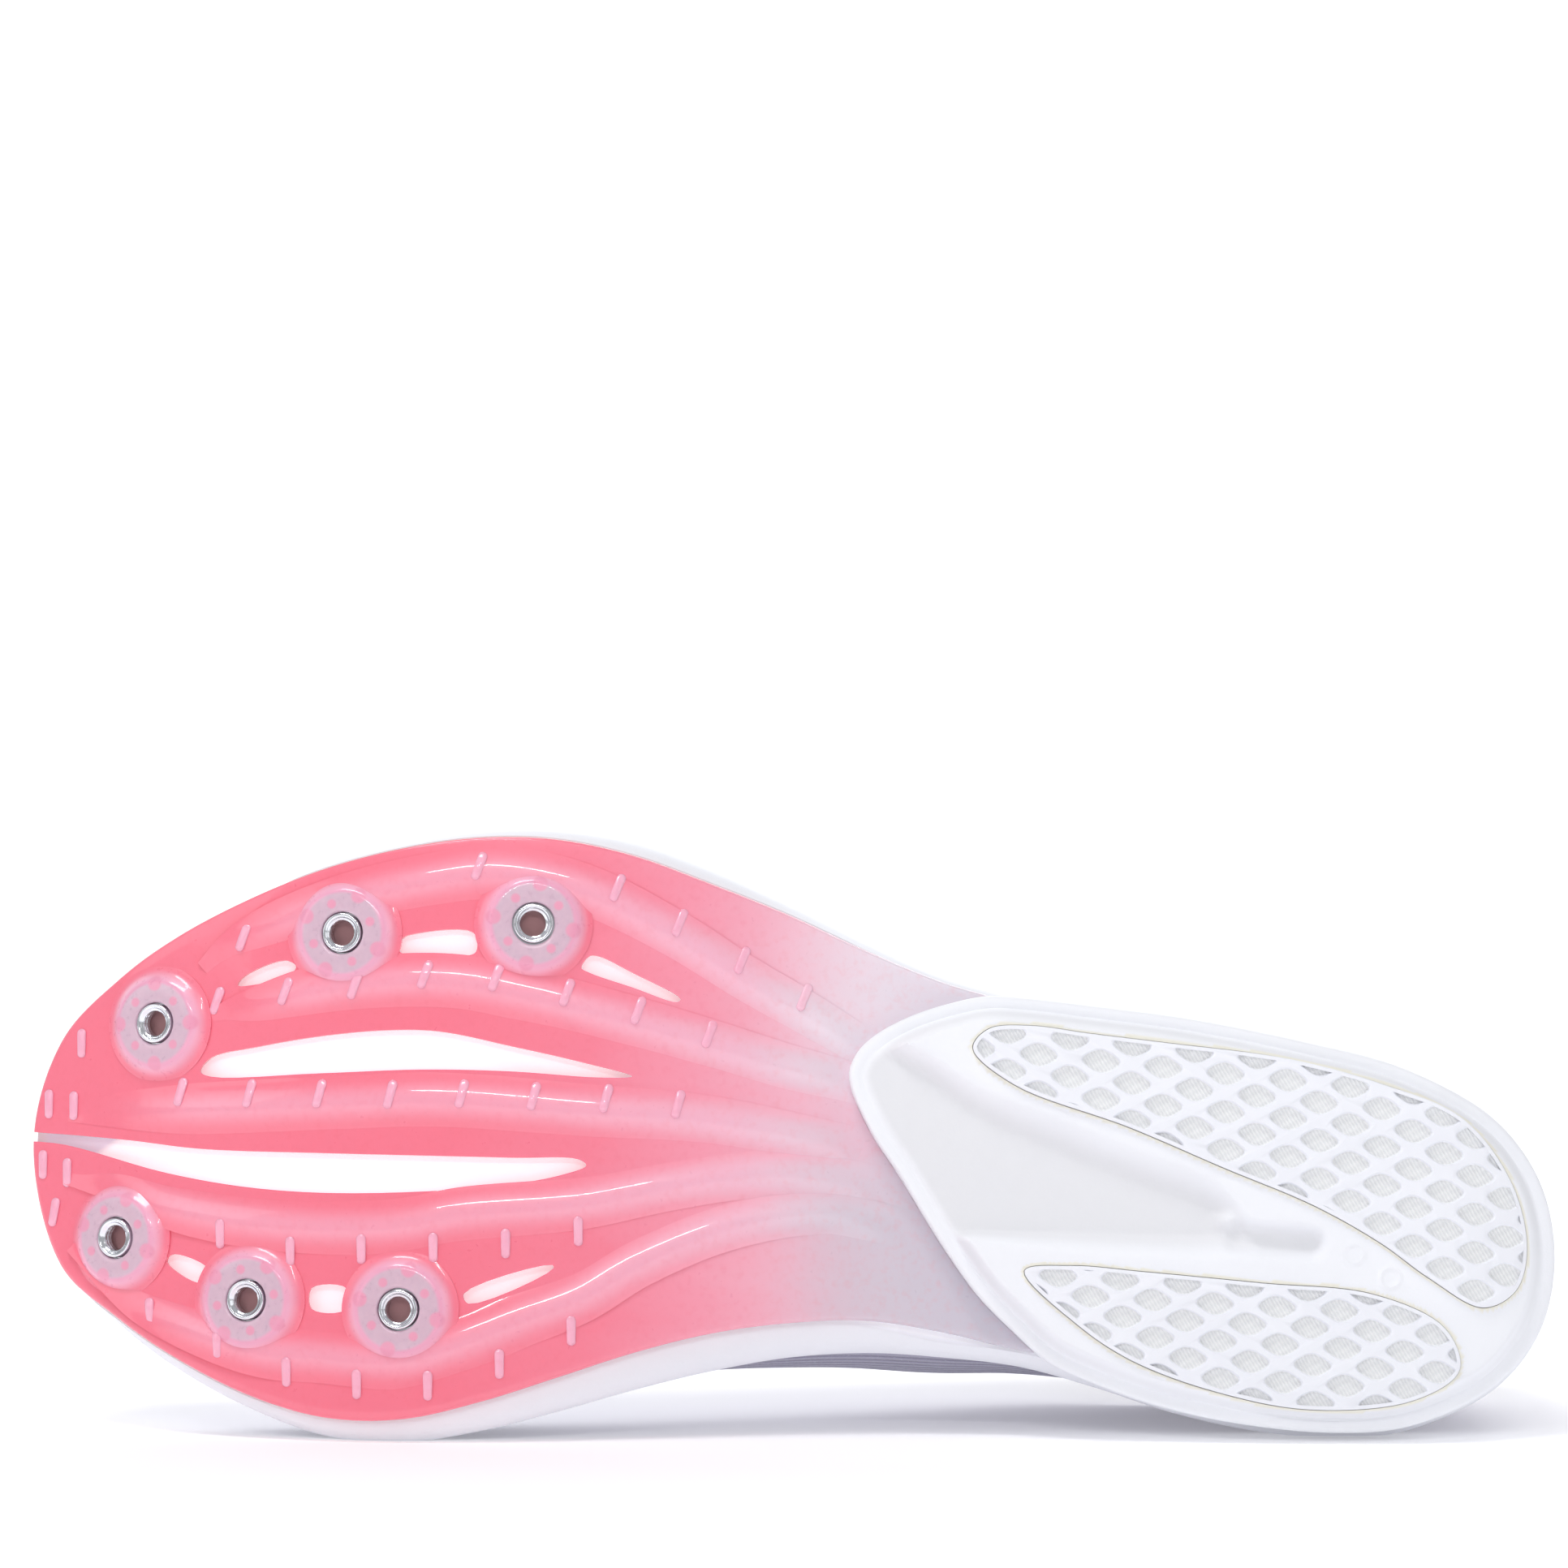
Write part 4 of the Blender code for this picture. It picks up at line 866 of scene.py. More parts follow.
def distance_inside(plan, outline):
    """How far points lie inside a closed outline; less than nothing outside it."""
    after = np.roll(outline, -1, axis=0)
    span = after - outline
    offset = plan[:, None] - outline[None]
    share = np.clip((offset * span).sum(axis=2) / (span**2).sum(axis=1), 0.0, 1.0)
    nearest = np.linalg.norm(offset - share[..., None] * span, axis=2).min(axis=1)
    above = (outline[:, 1] > plan[:, 1:]) != (after[:, 1] > plan[:, 1:])
    rise = np.where(span[:, 1] == 0.0, 1e-12, span[:, 1])
    crossing = outline[:, 0] + (plan[:, 1:] - outline[:, 1]) / rise * span[:, 0]
    inside = (above & (plan[:, :1] < crossing)).sum(axis=1) % 2 == 1
    return np.where(inside, nearest, -nearest)


def outward(outline):
    """Unit vectors out of a closed counterclockwise outline."""
    ahead = unit(np.roll(outline, -1, axis=0) - np.roll(outline, 1, axis=0))
    return np.stack([ahead[:, 1], -ahead[:, 0]], axis=1)


def plate_rings():
    """Rings of the plate from the middle of its underside, round its edge, to the middle of its top."""
    rings = []
    for share in np.linspace(0.0, 1.0, 22)[:-1]:
        rings.append(PLATE_RAYS.ring(share * (plate_reach - PLATE_ROUND), underside))
    for draw, up in rounded(PLATE_ROUND, 6):
        rings.append(PLATE_RAYS.ring(plate_reach - draw, lambda along, up=up: underside(along) + up))
    for share in np.linspace(1.0, 0.0, 8):
        rings.append(PLATE_RAYS.ring(plate_reach * share, lambda along: underside(along) + PLATE))
    return rings


CUT_BELOW, CUT_ABOVE = -0.02, 0.08
heel_seam = heel_outline + outward(heel_outline) * HEEL_SEAM
cutters = [prism(heel_seam, CUT_BELOW, CUT_ABOVE)]
cutters += [prism(closed_curve(in_plan(slot), 6), CUT_BELOW, CUT_ABOVE) for slot in SLOTS.values()]
for place in WELLS.values():
    hole = [on_well(place, FLANGE_RADIUS + GAP, circle(40), height) for height in (-0.004, 0.006)]
    cutters.append(capped(hole))
plate_levels = plate_rings()
plate_solid = (np.concatenate(plate_levels), grid_faces(len(plate_levels), len(PLATE_RAYS.side)))
plate_points, plate_faces = combined(plate_solid, joined(cutters))
sheet = add_piece(
    "plate_sheet", plate_points, plate_faces, (plate, plate_edge), "plate", ["spike_plate"]
).data
sheet_normals = np.empty(len(sheet.polygons) * 3, np.float32)
sheet.polygons.foreach_get("normal", sheet_normals)
sheet.polygons.foreach_set("material_index", (np.abs(sheet_normals[1::3]) < STEEP).astype(np.int32))

rib_surfaces = [rib.surface() for rib in ribs.values()]
rib_points, rib_faces = joined([capped(surface) for surface, _ in rib_surfaces])
add_piece(
    "plate_ribs", rib_points, rib_faces, plate, "plate", sharp=60.0,
    marks={"rib": np.concatenate([marks.ravel() for _, marks in rib_surfaces])},
)


def low_bar(along, across, lean):
    """A bar that stands across a rib or the flat, its foot sunk in; kept inside the plate's edge."""
    steps = np.linspace(0.0, math.pi / 2, 5)
    lift, drop = np.sin(steps)[:, None] ** 0.7, np.cos(steps)[:, None] ** 0.8
    ends = np.where(np.sin(circle(14)) >= 0.0, 1.0, -1.0) * (BAR_LENGTH - BAR_WIDTH) / 2
    wide = np.cos(circle(14)) * BAR_WIDTH / 2 * lift
    high = (np.sin(circle(14)) * BAR_WIDTH / 2 + ends) * lift
    tilt = math.radians(lean)
    plan = np.stack(
        [
            along + wide * math.cos(tilt) - high * math.sin(tilt),
            across + wide * math.sin(tilt) + high * math.cos(tilt),
        ],
        axis=-1,
    )
    room = distance_inside(plan.reshape(-1, 2), plate_outline)
    middle = np.array([TOE_CENTRE * LENGTH, plate_outline[:, 1].mean()])
    plan += unit(middle - plan.reshape(-1, 2)[room.argmin()]) * max(BAR_INSET - room.min(), 0.0)
    ground = np.max([rib.height_at(plan.reshape(-1, 2)) for rib in ribs.values()], axis=0)
    height = underside(plan[..., 0]) - ground.reshape(wide.shape) - BAR_PROUD * drop
    solid = np.concatenate([plan, height[..., None]], axis=2)
    return capped(np.concatenate([solid, solid[-1:] + (0.0, 0.0, RIB_ROOT + RIB_HEIGHT)]))


bar_points, bar_faces = joined(
    [
        low_bar(along, across, lean)
        for first, last, lean, places in BAR_ROWS
        for along, across in zip(np.linspace(first, last, len(places)), places)
    ]
)
add_piece(
    "plate_bars", bar_points, bar_faces, plate, "plate", sharp=70.0,
    marks={"rib": np.full(len(bar_points), BAR_MARK)},
)


# Bosses: round domes of the plate's own plastic over each steel insert. The insert's flange shows
# through them as a grey disc, with the dots and notches where the plastic flowed through its holes.
boss = Finish(
    "boss_plastic", IOR=1.5, Coat_Weight=0.6, Coat_Roughness=0.06,
    Subsurface_Weight=0.25, Subsurface_Radius=(0.004, 0.002, 0.0025),
)
disc_x, disc_y, _ = boss.axes(boss.uv())
disc_far = disc_x.absolute().maths("MAXIMUM", disc_y.absolute())
disc_near = disc_x.absolute().maths("MINIMUM", disc_y.absolute())
disc_radius = (disc_x * disc_x + disc_y * disc_y).maths("SQRT")


def disc_spot(far, near, inner, outer):
    """1 within a round spot at a place of each quarter of the disc, 0 outside."""
    across, up = disc_far - far, disc_near - near
    return (across * across + up * up).maths("SQRT").between(outer, inner)


boss_cloud, boss_flange = boss.cloud(900.0, (208, 176, 194), (224, 192, 206), 3.0)
# Partly real, partly painted light: the boss's pink ring lightens towards its foot into a painted glow round
# the dome
boss_ring_and_glow = boss.mix(disc_radius.between(0.0076, 0.0090), paint(240, 168, 196), paint(250, 184, 208))
boss_colour = boss.mix(disc_radius.between(0.0071, 0.0079), boss_flange, boss_ring_and_glow)
boss_notches = disc_spot(0.0053, 0.0053, 0.0011, 0.0017)
boss_holes = disc_spot(0.0057, 0.0, 0.0006, 0.0011).maths("MAXIMUM", boss_notches)
boss_spots = boss.mix(boss_holes * 0.85, boss_colour, paint(240, 158, 186))
boss_foot = boss.mix(disc_radius.between(0.0082, 0.0105), boss_spots, paint(250, 126, 148))
boss.link(Base_Color=boss_foot, Roughness=boss_cloud * 0.15 + 0.22)
boss.link(Normal=boss.bump(boss_cloud, 0.00004, 0.3))

BOSS_PROFILE = np.array(
    [
        # radius, height below the plate's underside, in metres
        (0.00390, -0.0004), (0.00390, 0.0016), (0.00400, 0.00185), (0.00425, 0.00198), (0.00480, 0.00200),
        (0.00600, 0.00200), (0.00720, 0.00196), (0.00780, 0.00188), (0.00815, 0.00168), (0.00850, 0.00140),
        (0.00885, 0.00108), (0.00920, 0.00076), (0.00955, 0.00046), (0.01000, 0.00020), (0.01050, 0.00004),
        (0.01095, -0.00008), (0.01090, -0.0010), (0.00800, -0.0010), (0.00790, -0.0004), (0.00390, -0.0004),
    ]
)
disc_radii, disc_turns = np.meshgrid(BOSS_PROFILE[:, 0], circle(72), indexing="ij")
one_boss = grid_faces(*disc_radii.shape).tolist()
domes, boss_uv = [], []
for along, across, pattern in WELLS.values():
    dome = on_well((along, across), disc_radii, disc_turns, 0.0 * disc_turns - BOSS_PROFILE[:, 1:])
    domes.append((dome.reshape(-1, 3), one_boss))
    own = disc_turns + math.radians(pattern)
    boss_uv.append(np.stack([disc_radii * np.cos(own), disc_radii * np.sin(own)], axis=-1))
add_piece("plate_bosses", *joined(domes), boss, "plate", uv=boss_uv, sharp=60.0)


# Spike wells: turned steel inserts, each with a flange held in the plate and a short ring whose
# threaded bore takes a spike. The thread is a fine screw line round the bore's wall.
BORE_RADIUS = 0.0024
THREAD_PITCH = 0.00080
THREAD_DEPTH = 0.00022
FLANGE_SEAT = 0.0016
FLANGE = 0.0008
steel = Finish("turned_steel", Metallic=1.0, Roughness=0.22)
steel_depth = steel.mark("depth")
steel_grain, steel_colour = steel.cloud(1800.0, (228, 231, 238), (250, 251, 254))
# Painted shade: the bore darkens to a brownish pink towards its floor, where it also turns rougher and less
# metallic
steel_bore_shaded = steel.mix(steel_depth.between(0.35, 1.0), steel_colour, paint(164, 120, 122))
steel_rough = steel_grain * 0.12 + 0.10 + steel_depth.between(0.4, 1.0) * 0.3
steel.link(Base_Color=steel_bore_shaded, Roughness=steel_rough, Metallic=1 - steel_depth.between(0.6, 1.0) * 0.6)
well_base = PLATE - FLANGE_SEAT + GAP
well_mouth = -BOSS_PROUD - GAP
well_bottom = well_base + FLANGE / 4
WELL_OUTSIDE = np.array(
    [
        # radius, height
        (0.00000, well_base + FLANGE), (FLANGE_RADIUS - 0.0001, well_base + FLANGE),
        (FLANGE_RADIUS, well_base + FLANGE - 0.0001), (FLANGE_RADIUS, well_base), (RING_RADIUS, well_base),
        (RING_RADIUS, well_mouth + 0.00020), (RING_RADIUS - 0.00005, well_mouth + 0.00006),
        (RING_RADIUS - 0.00018, well_mouth), (RING_RADIUS - 0.00045, well_mouth),
        (RING_RADIUS - 0.00058, well_mouth + 0.00008), (RING_RADIUS - 0.00075, well_mouth + 0.00035),
        (BORE_RADIUS + 0.00022, well_mouth + 0.00060),
    ]
)
WELL_FLOOR = np.array([(BORE_RADIUS * 0.55, well_bottom), (0.0, well_bottom)])
well_turn = circle(56)
bore_depth = np.linspace(well_mouth + 0.00070, well_bottom, 42)[:, None]
winding = (bore_depth / THREAD_PITCH + well_turn / (2 * math.pi)) % 1.0
ridge = np.abs(2.0 * winding - 1.0) * THREAD_DEPTH - THREAD_DEPTH / 2
bore = np.stack(np.broadcast_arrays(BORE_RADIUS + ridge, bore_depth), axis=-1)
outside, bottom = (np.repeat(rows[:, None], len(well_turn), axis=1) for rows in (WELL_OUTSIDE, WELL_FLOOR))
turned = np.concatenate([outside, bore, bottom])
well_depth = np.concatenate([np.zeros(len(outside)), np.linspace(0.0, 0.9, len(bore)), np.ones(len(bottom))])
for name, place in WELLS.items():
    add_piece(
        name.replace("spike_well", "well_insert"),
        on_well(place, turned[..., 0], well_turn, turned[..., 1]),
        grid_faces(len(turned), len(well_turn)), steel, "steel", [name],
        marks={"depth": np.repeat(well_depth, len(well_turn))}, sharp=50.0,
    )


# Heel piece: a block of white moulded foam under the heel and arch, with a low rim all round, two
# raised plateaus that hold the pads, and a bare valley between them.
RIM_RISE = 0.0047
PAD_PROUD = 0.0010
LIP = 0.0022
HEEL_ROUND = 0.0010
REAR_BEVEL = 0.0070
PAD = 0.0022
PAD_GAP = 0.00012
BEAD = 0.0003
KNOB = (0.0617, 0.0397)
KNOB_RISE = 0.0020
KNOB_SIZE = 0.0021
TROUGH = np.array(((0.0600, 0.0366), (0.0470, 0.0354)))
TROUGH_DEPTH = 0.0028
TROUGH_SIZE = 0.0026
ROUND_MARKS = ((0.0391, 0.0334), (0.0324, 0.0290))
ROUND_MARK_RADIUS = 0.0018
PAD_LATERAL = (
    (0.381, 0.834), (0.371, 0.891), (0.345, 0.941), (0.305, 0.978), (0.256, 0.989), (0.176, 0.947),
    (0.116, 0.882), (0.065, 0.795), (0.033, 0.629), (0.024, 0.466), (0.032, 0.364), (0.054, 0.322),
    (0.089, 0.397), (0.119, 0.483), (0.161, 0.577), (0.220, 0.675), (0.281, 0.769), (0.355, 0.793),
)
PAD_MEDIAL = (
    (0.349, 0.378), (0.319, 0.408), (0.272, 0.412), (0.196, 0.385), (0.124, 0.355), (0.079, 0.270),
    (0.070, 0.167), (0.099, 0.092), (0.166, 0.069), (0.227, 0.115), (0.280, 0.190), (0.315, 0.269),
)
# The valley: its floor, and the brow where its slopes begin
VALLEY = np.array(
    (
        # floor_along, floor_across, brow_along, brow_across
        (0.480, 0.698, 0.480, 0.728), (0.428, 0.736, 0.422, 0.786), (0.381, 0.691, 0.379, 0.769),
        (0.288, 0.641, 0.288, 0.740), (0.223, 0.560, 0.223, 0.648), (0.216, 0.537, 0.202, 0.550),
        (0.223, 0.519, 0.200, 0.462), (0.304, 0.501, 0.277, 0.445), (0.379, 0.449, 0.381, 0.420),
        (0.480, 0.396, 0.480, 0.371),
    )
)


def heel_relief(plan):
    """Height of the heel piece's face: a rim, then the plateaus, let down to the valley's floor."""
    edge = distance_inside(plan, heel_outline)
    floor_in = distance_inside(plan, closed_curve(in_plan(VALLEY[:, 0:2]), 4))
    brow_in = np.maximum(distance_inside(plan, closed_curve(in_plan(VALLEY[:, 2:4]), 4)), 0.0)
    floor_out = np.maximum(-floor_in, 0.0)
    valley = smooth_step(np.where(floor_in > 0.0, 1.0, brow_in / (brow_in + floor_out + 1e-9)))
    plateau = smooth_step((edge - LIP) / (1.2 * LIP))
    height = RIM_RISE - (RIM_RISE - PAD_PROUD) * plateau * (1.0 - valley)
    height += BEAD * np.exp(-(((edge - 1.15 * LIP) / 0.0006) ** 2))
    knob = np.linalg.norm(plan - KNOB, axis=1)
    height -= KNOB_RISE * np.exp(-((knob / KNOB_SIZE) ** 2)) * valley
    start, way = TROUGH[0], TROUGH[1] - TROUGH[0]
    share = np.clip((plan - start) @ way / (way @ way), 0.0, 1.0)
    aside = np.linalg.norm(plan - start - share[:, None] * way, axis=1)
    height += TROUGH_DEPTH * np.exp(-((aside / TROUGH_SIZE) ** 4)) * (1.0 - valley)
    for centre in ROUND_MARKS:
        ring = np.linalg.norm(plan - centre, axis=1) - ROUND_MARK_RADIUS
        height -= BEAD * np.exp(-((ring / 0.0004) ** 2))
    return height


def under_heel(points):
    """Fits raw points of the heel, 0 on the ground, to the foam above them and the lifted rear edge."""
    x, y, z = np.asarray(points, float).T
    lift = REAR_BEVEL * np.maximum(0.0, 1.0 - x / (0.09 * LENGTH)) ** 2
    return np.stack([x, y, lift + z / (ARCH_RISE + PLATE) * (foam_bottom(x) - GAP - lift)], axis=1)


HEEL_RAYS = Rays(0.125, 0.33, 120, 60)
heel_reach = HEEL_RAYS.reach(heel_outline)
heel_levels = []
for share in np.linspace(0.0, 1.0, 86):
    plan = HEEL_RAYS.plan((heel_reach - HEEL_ROUND) * share)
    heel_levels.append(np.column_stack([plan, heel_relief(plan)]))
for draw, up in list(rounded(HEEL_ROUND, 6))[1:]:
    heel_levels.append(level(HEEL_RAYS.plan(heel_reach - draw), RIM_RISE + up))
for share in np.linspace(0.0, 1.0, 5)[1:]:
    height = (1.0 - share) * (RIM_RISE + HEEL_ROUND) + share * (ARCH_RISE + PLATE)
    heel_levels.append(level(HEEL_RAYS.plan(heel_reach), height))
for share in (0.8, 0.4, 0.0):
    heel_levels.append(level(HEEL_RAYS.plan(heel_reach * share), ARCH_RISE + PLATE))

pad_outlines = {
    "heel_pad_lateral": closed_curve(in_plan(PAD_LATERAL), 8),
    "heel_pad_medial": closed_curve(in_plan(PAD_MEDIAL), 8),
}
pockets = [
    prism(outline + outward(outline) * PAD_GAP, -0.001, PAD + GAP) for outline in pad_outlines.values()
]
heel_solid = (np.concatenate(heel_levels), grid_faces(len(heel_levels), len(HEEL_RAYS.side)))
heel_points, heel_faces = combined(heel_solid, joined(pockets))
heel_foam = Finish("heel_foam", Roughness=0.6, Specular_IOR_Level=0.3)
heel_cloud, heel_white = heel_foam.cloud(60.0, (241, 242, 247), (247, 248, 252), 3.0)
# Painted shade: the recessed valley floor and its slopes, inside the rim, are painted grey
heel_recess_shaded = heel_foam.mix(heel_foam.mark("low") * 0.75, heel_white, paint(226, 226, 229))
heel_wall = heel_foam.mix(heel_foam.mark("gap"), heel_recess_shaded, paint(240, 237, 224))
heel_foam.link(Base_Color=heel_wall, Roughness=heel_cloud * 0.15 + 0.5)
heel_grain = heel_foam.noise(heel_foam.place(), 2400.0, 2.0)
heel_foam.link(Normal=heel_foam.bump(heel_grain, 0.00010, 0.35))
heel_plan = heel_points[:, :2]
pad_edges = [outline + outward(outline) * 2 * GAP for outline in pad_outlines.values()]
heel_gap = np.max([distance_inside(heel_plan, edge) for edge in pad_edges], axis=0)
heel_inside = smooth_step((distance_inside(heel_plan, heel_outline) - LIP) / LIP)
add_piece(
    "heel_block", under_heel(heel_points), heel_faces, heel_foam, "heel_foam", ["heel_outsole"],
    marks={
        "low": smooth_step((heel_points[:, 2] - PAD_PROUD) / (RIM_RISE - PAD_PROUD)) * heel_inside,
        "gap": ((heel_gap > 0.0) & (heel_points[:, 2] < PAD + 2 * GAP)).astype(float),
    },
    sharp=35.0,
)


# Heel pads: two thin white rubber sheets let into the plateaus, with a lattice of rounded diamonds
# pressed into them. The floors of the diamonds carry a fine woven print.
DIAMOND = 0.76
DIAMOND_DEPTH = 0.0011
PAD_BORDER = 0.0007
PAD_ROUND = 0.00025
# A pit's rings from above its mouth down: size, and depth in metres
PIT = ((1.16, -0.0006), (1.10, 0.0), (1.03, 0.00018), (1.0, 0.0004), (0.97, 0.0009), (0.90, DIAMOND_DEPTH))
# Lattices in millimetres: a diamond's middle, the long diagonal and one side
LATTICES = {
    "heel_pad_lateral": ((96.5, 70.2), (-11.45, -1.22), (-5.70, -4.12)),
    "heel_pad_medial": ((93.3, 29.6), (-11.40, -0.69), (-5.91, -3.77)),
}
rubber = Finish("pad_rubber", Roughness=0.5, Specular_IOR_Level=0.4)
rubber_depth = rubber.mark("depth")
rubber_x, _, rubber_z = rubber.axes(rubber.place())
_, rubber_face = rubber.cloud(90.0, (238, 239, 246), (245, 246, 251), 3.0)
rubber_fine = (rubber_x * 0.86 + rubber_z * 0.5).wave(0.00062)
rubber_coarse = (rubber_z * 0.86 - rubber_x * 0.5).wave(0.0014)
rubber_weave = rubber_fine * 0.7 + rubber_coarse * 0.3
rubber_floor = rubber.mix(rubber_weave, paint(232, 233, 234), paint(248, 248, 248))
rubber_sunk = rubber_depth.between(0.0007, 0.0010)
rubber.link(Base_Color=rubber.mix(rubber_sunk, rubber_face, rubber_floor), Roughness=rubber_sunk * 0.3 + 0.45)
rubber.link(Normal=rubber.bump(rubber_weave * rubber_sunk, 0.00018, 0.8))


def diamond(middle, side, other):
    """A rounded diamond's pit: a closed form that flares at the mouth and rounds into its floor."""
    turn = circle(24)
    first = np.sign(np.cos(turn)) * np.abs(np.cos(turn)) ** (2 / 3) * DIAMOND / 2
    second = np.sign(np.sin(turn)) * np.abs(np.sin(turn)) ** (2 / 3) * DIAMOND / 2
    around = first[:, None] * side + second[:, None] * other
    return capped([level(middle + around * size, height) for size, height in PIT])


def fitted_pad(points, faces):
    """A pad cut across where the rear edge lifts, so that it can bend under the foam there."""
    mesh = bpy.data.meshes.new("pad")
    mesh.from_pydata(points.tolist(), [], faces)
    pad = bmesh.new()
    pad.from_mesh(mesh)
    for share in np.linspace(0.01, 0.10, 19):
        bmesh.ops.bisect_plane(
            pad, geom=[*pad.verts, *pad.edges, *pad.faces], plane_co=(share * LENGTH, 0, 0),
            plane_no=(1, 0, 0), dist=1e-6,
        )
    pad.to_mesh(mesh)
    pad.free()
    return mesh_parts(mesh)


for name, outline in pad_outlines.items():
    middle, diagonal, side = (np.array(value) / 1000.0 for value in LATTICES[name])
    other = diagonal - side
    steps = range(-16, 17)
    centres = np.array([middle + first * side + second * other for first in steps for second in steps])
    pits = [diamond(centre, side, other) for centre in centres[distance_inside(centres, outline) > -0.0030]]
    cells = combined(joined(pits), prism(outline - outward(outline) * PAD_BORDER, -0.01, 0.01), "INTERSECT")
    pad_levels = [level(outline - outward(outline) * draw, up) for draw, up in rounded(PAD_ROUND, 5)]
    raw, faces = fitted_pad(*combined(capped([*pad_levels, level(outline, PAD)]), cells))
    add_piece(
        name.replace("heel_pad", "grip_pad"), under_heel(raw), faces, rubber, "pad", [name],
        marks={"depth": raw[:, 2]}, sharp=38.0,
    )


# Upper: one thin knitted wall over the last, its lower edge turned in and glued to the foam, open
# at collar and throat. Fine lengthwise ribs run in the knit; the collar is padded, its edge bound.
INSTEP_HEIGHT = 0.0620
HEEL_HEIGHT = 0.0620
UPPER_WALL = 0.0015
THROAT_WIDTH = 0.0350
COLLAR_PAD = 0.0032
COLLAR_DEPTH = 0.016
KNIT_RIB = 0.0014
TOE_ROUND = 0.013
LAST = (
    # along, ridge, flank, crown, lateral, medial
    (0.125, 1.42, 0.64, 1.00, 0.50, 0.50),
    (0.210, 1.36, 0.66, 0.95, 0.50, 0.55),
    (0.300, 1.27, 0.70, 0.84, 0.50, 0.90),
    (0.350, 1.15, 0.74, 0.77, 0.50, 1.40),
    (0.420, 0.99, 0.80, 0.70, 0.50, 1.80),
    (0.490, 0.90, 0.82, 0.68, 0.50, 1.60),
    (0.560, 0.83, 0.84, 0.67, 0.50, 1.00),
    (0.650, 0.74, 0.85, 0.66, 0.50, 0.60),
    (0.735, 0.640, 0.87, 0.67, 0.50, 0.50),
    (0.810, 0.540, 0.90, 0.71, 0.45, 0.45),
    (0.860, 0.475, 0.94, 0.75, 0.40, 0.40),
    (0.905, 0.415, 0.98, 0.80, 0.35, 0.35),
)
COLLAR = (
    # along, height
    (0.00, 1.00),
    (0.03, 0.99),
    (0.08, 0.90),
    (0.14, 0.81),
    (0.20, 0.77),
    (0.26, 0.81),
    (0.31, 0.92),
    (0.35, 1.01),
    (0.40, 1.04),
)
THROAT = (
    # along, half of its width as a share of THROAT_WIDTH / 2
    (0.30, 1.10),
    (0.37, 1.00),
    (0.42, 0.88),
    (0.50, 0.78),
    (0.57, 0.72),
    (0.61, 0.62),
    (0.64, 0.40),
    (0.652, 0.00),
)
# Soft creases: across the vamp where the toes bend, and low at both sides of the heel
CREASES = (
    # place, size, height
    ((0.196, 0.064, 0.050), (0.0035, 0.022, 0.03), -0.0008),
    ((0.204, 0.060, 0.047), (0.0040, 0.026, 0.03), 0.0006),
    ((0.213, 0.055, 0.044), (0.0032, 0.022, 0.03), -0.0007),
    ((0.150, 0.100, 0.036), (0.020, 0.02, 0.0035), -0.0006),
    ((0.147, 0.012, 0.038), (0.022, 0.02, 0.0040), -0.0006),
    ((0.040, 0.070, 0.044), (0.014, 0.02, 0.0035), -0.0006),
    ((0.040, 0.004, 0.044), (0.014, 0.02, 0.0035), -0.0006),
)


def local_height(along):
    """The height that shares of the last are taken of: the heel's behind, the instep's in front."""
    return HEEL_HEIGHT + (INSTEP_HEIGHT - HEEL_HEIGHT) * smooth_step((along / LENGTH - 0.20) / 0.20)


def wall_point(start, direction, half, foot, peak, flank, crown, belly, climb):
    """A point of the last's surface; climb runs from 0 at the sole to 1 on the ridge.

    The plan distance shrinks from half to 0 as the cosine of the climb to the power flank, and the
    height rises from foot to peak as its sine to the power crown; a belly leans out low on the wall.
    """
    turn = climb * math.pi / 2
    rise = np.clip(np.sin(turn), 0.0, 1.0) ** crown
    distance = half * np.clip(np.cos(turn), 0.0, 1.0) ** flank + belly * np.sin(math.pi * rise**0.6)
    plan = start + direction * distance[..., None]
    return np.concatenate([plan, (foot + (peak - foot) * rise)[..., None]], axis=-1)


def belly_at(along, side):
    return np.where(side > 0, column(LAST, 4, along), column(LAST, 5, along)) * FEATHER_INSET


def climb_to_half(half, edge, flank):
    """The climb at which a section is this far from the spine."""
    return np.arccos(np.clip(half / edge, 0.0, 1.0) ** (1.0 / flank)) * 2 / math.pi


def opening_climb(along, foot, peak, flank, crown):
    """How far up each section the wall goes: to the collar behind, to the throat's edge in front."""
    collar = foam_top(along) + column(COLLAR, 1, along) * local_height(along)
    share = np.clip((collar - foot) / (peak - foot), 0.0, 1.0)
    by_height = np.arcsin(share ** (1.0 / crown)) * 2 / math.pi
    by_half = climb_to_half(column(THROAT, 1, along) * THROAT_WIDTH / 2, FEATHER_REACH, flank)
    front = smooth_step((along / LENGTH - 0.33) / 0.06)
    climb = by_height * (1.0 - front) + by_half * front
    return np.where(along / LENGTH >= THROAT[-1][0] - 1e-6, 1.0, climb)


def upper_wall(levels, whole=False):
    """Rows of points up the wall to its opening, or whole to the ridge; the rays' climbs and places."""
    centre = RAYS.starts[:, 0]
    along = RAYS.plan(FEATHER_REACH)[:, 0]
    foot = foam_top(along) + GAP
    peak = foam_top(centre) + column(LAST, 1, centre) * local_height(centre)
    flank, crown = column(LAST, 2, centre), column(LAST, 3, centre)
    belly = belly_at(centre, RAYS.side)
    top = np.ones_like(along) if whole else opening_climb(along, foot, peak, flank, crown)
    climb = np.linspace(0.0, 1.0, levels)[:, None] ** 1.35 * top
    wall = wall_point(RAYS.starts, RAYS.ways, FEATHER_REACH, foot, peak, flank, crown, belly, climb)
    return wall, top, along


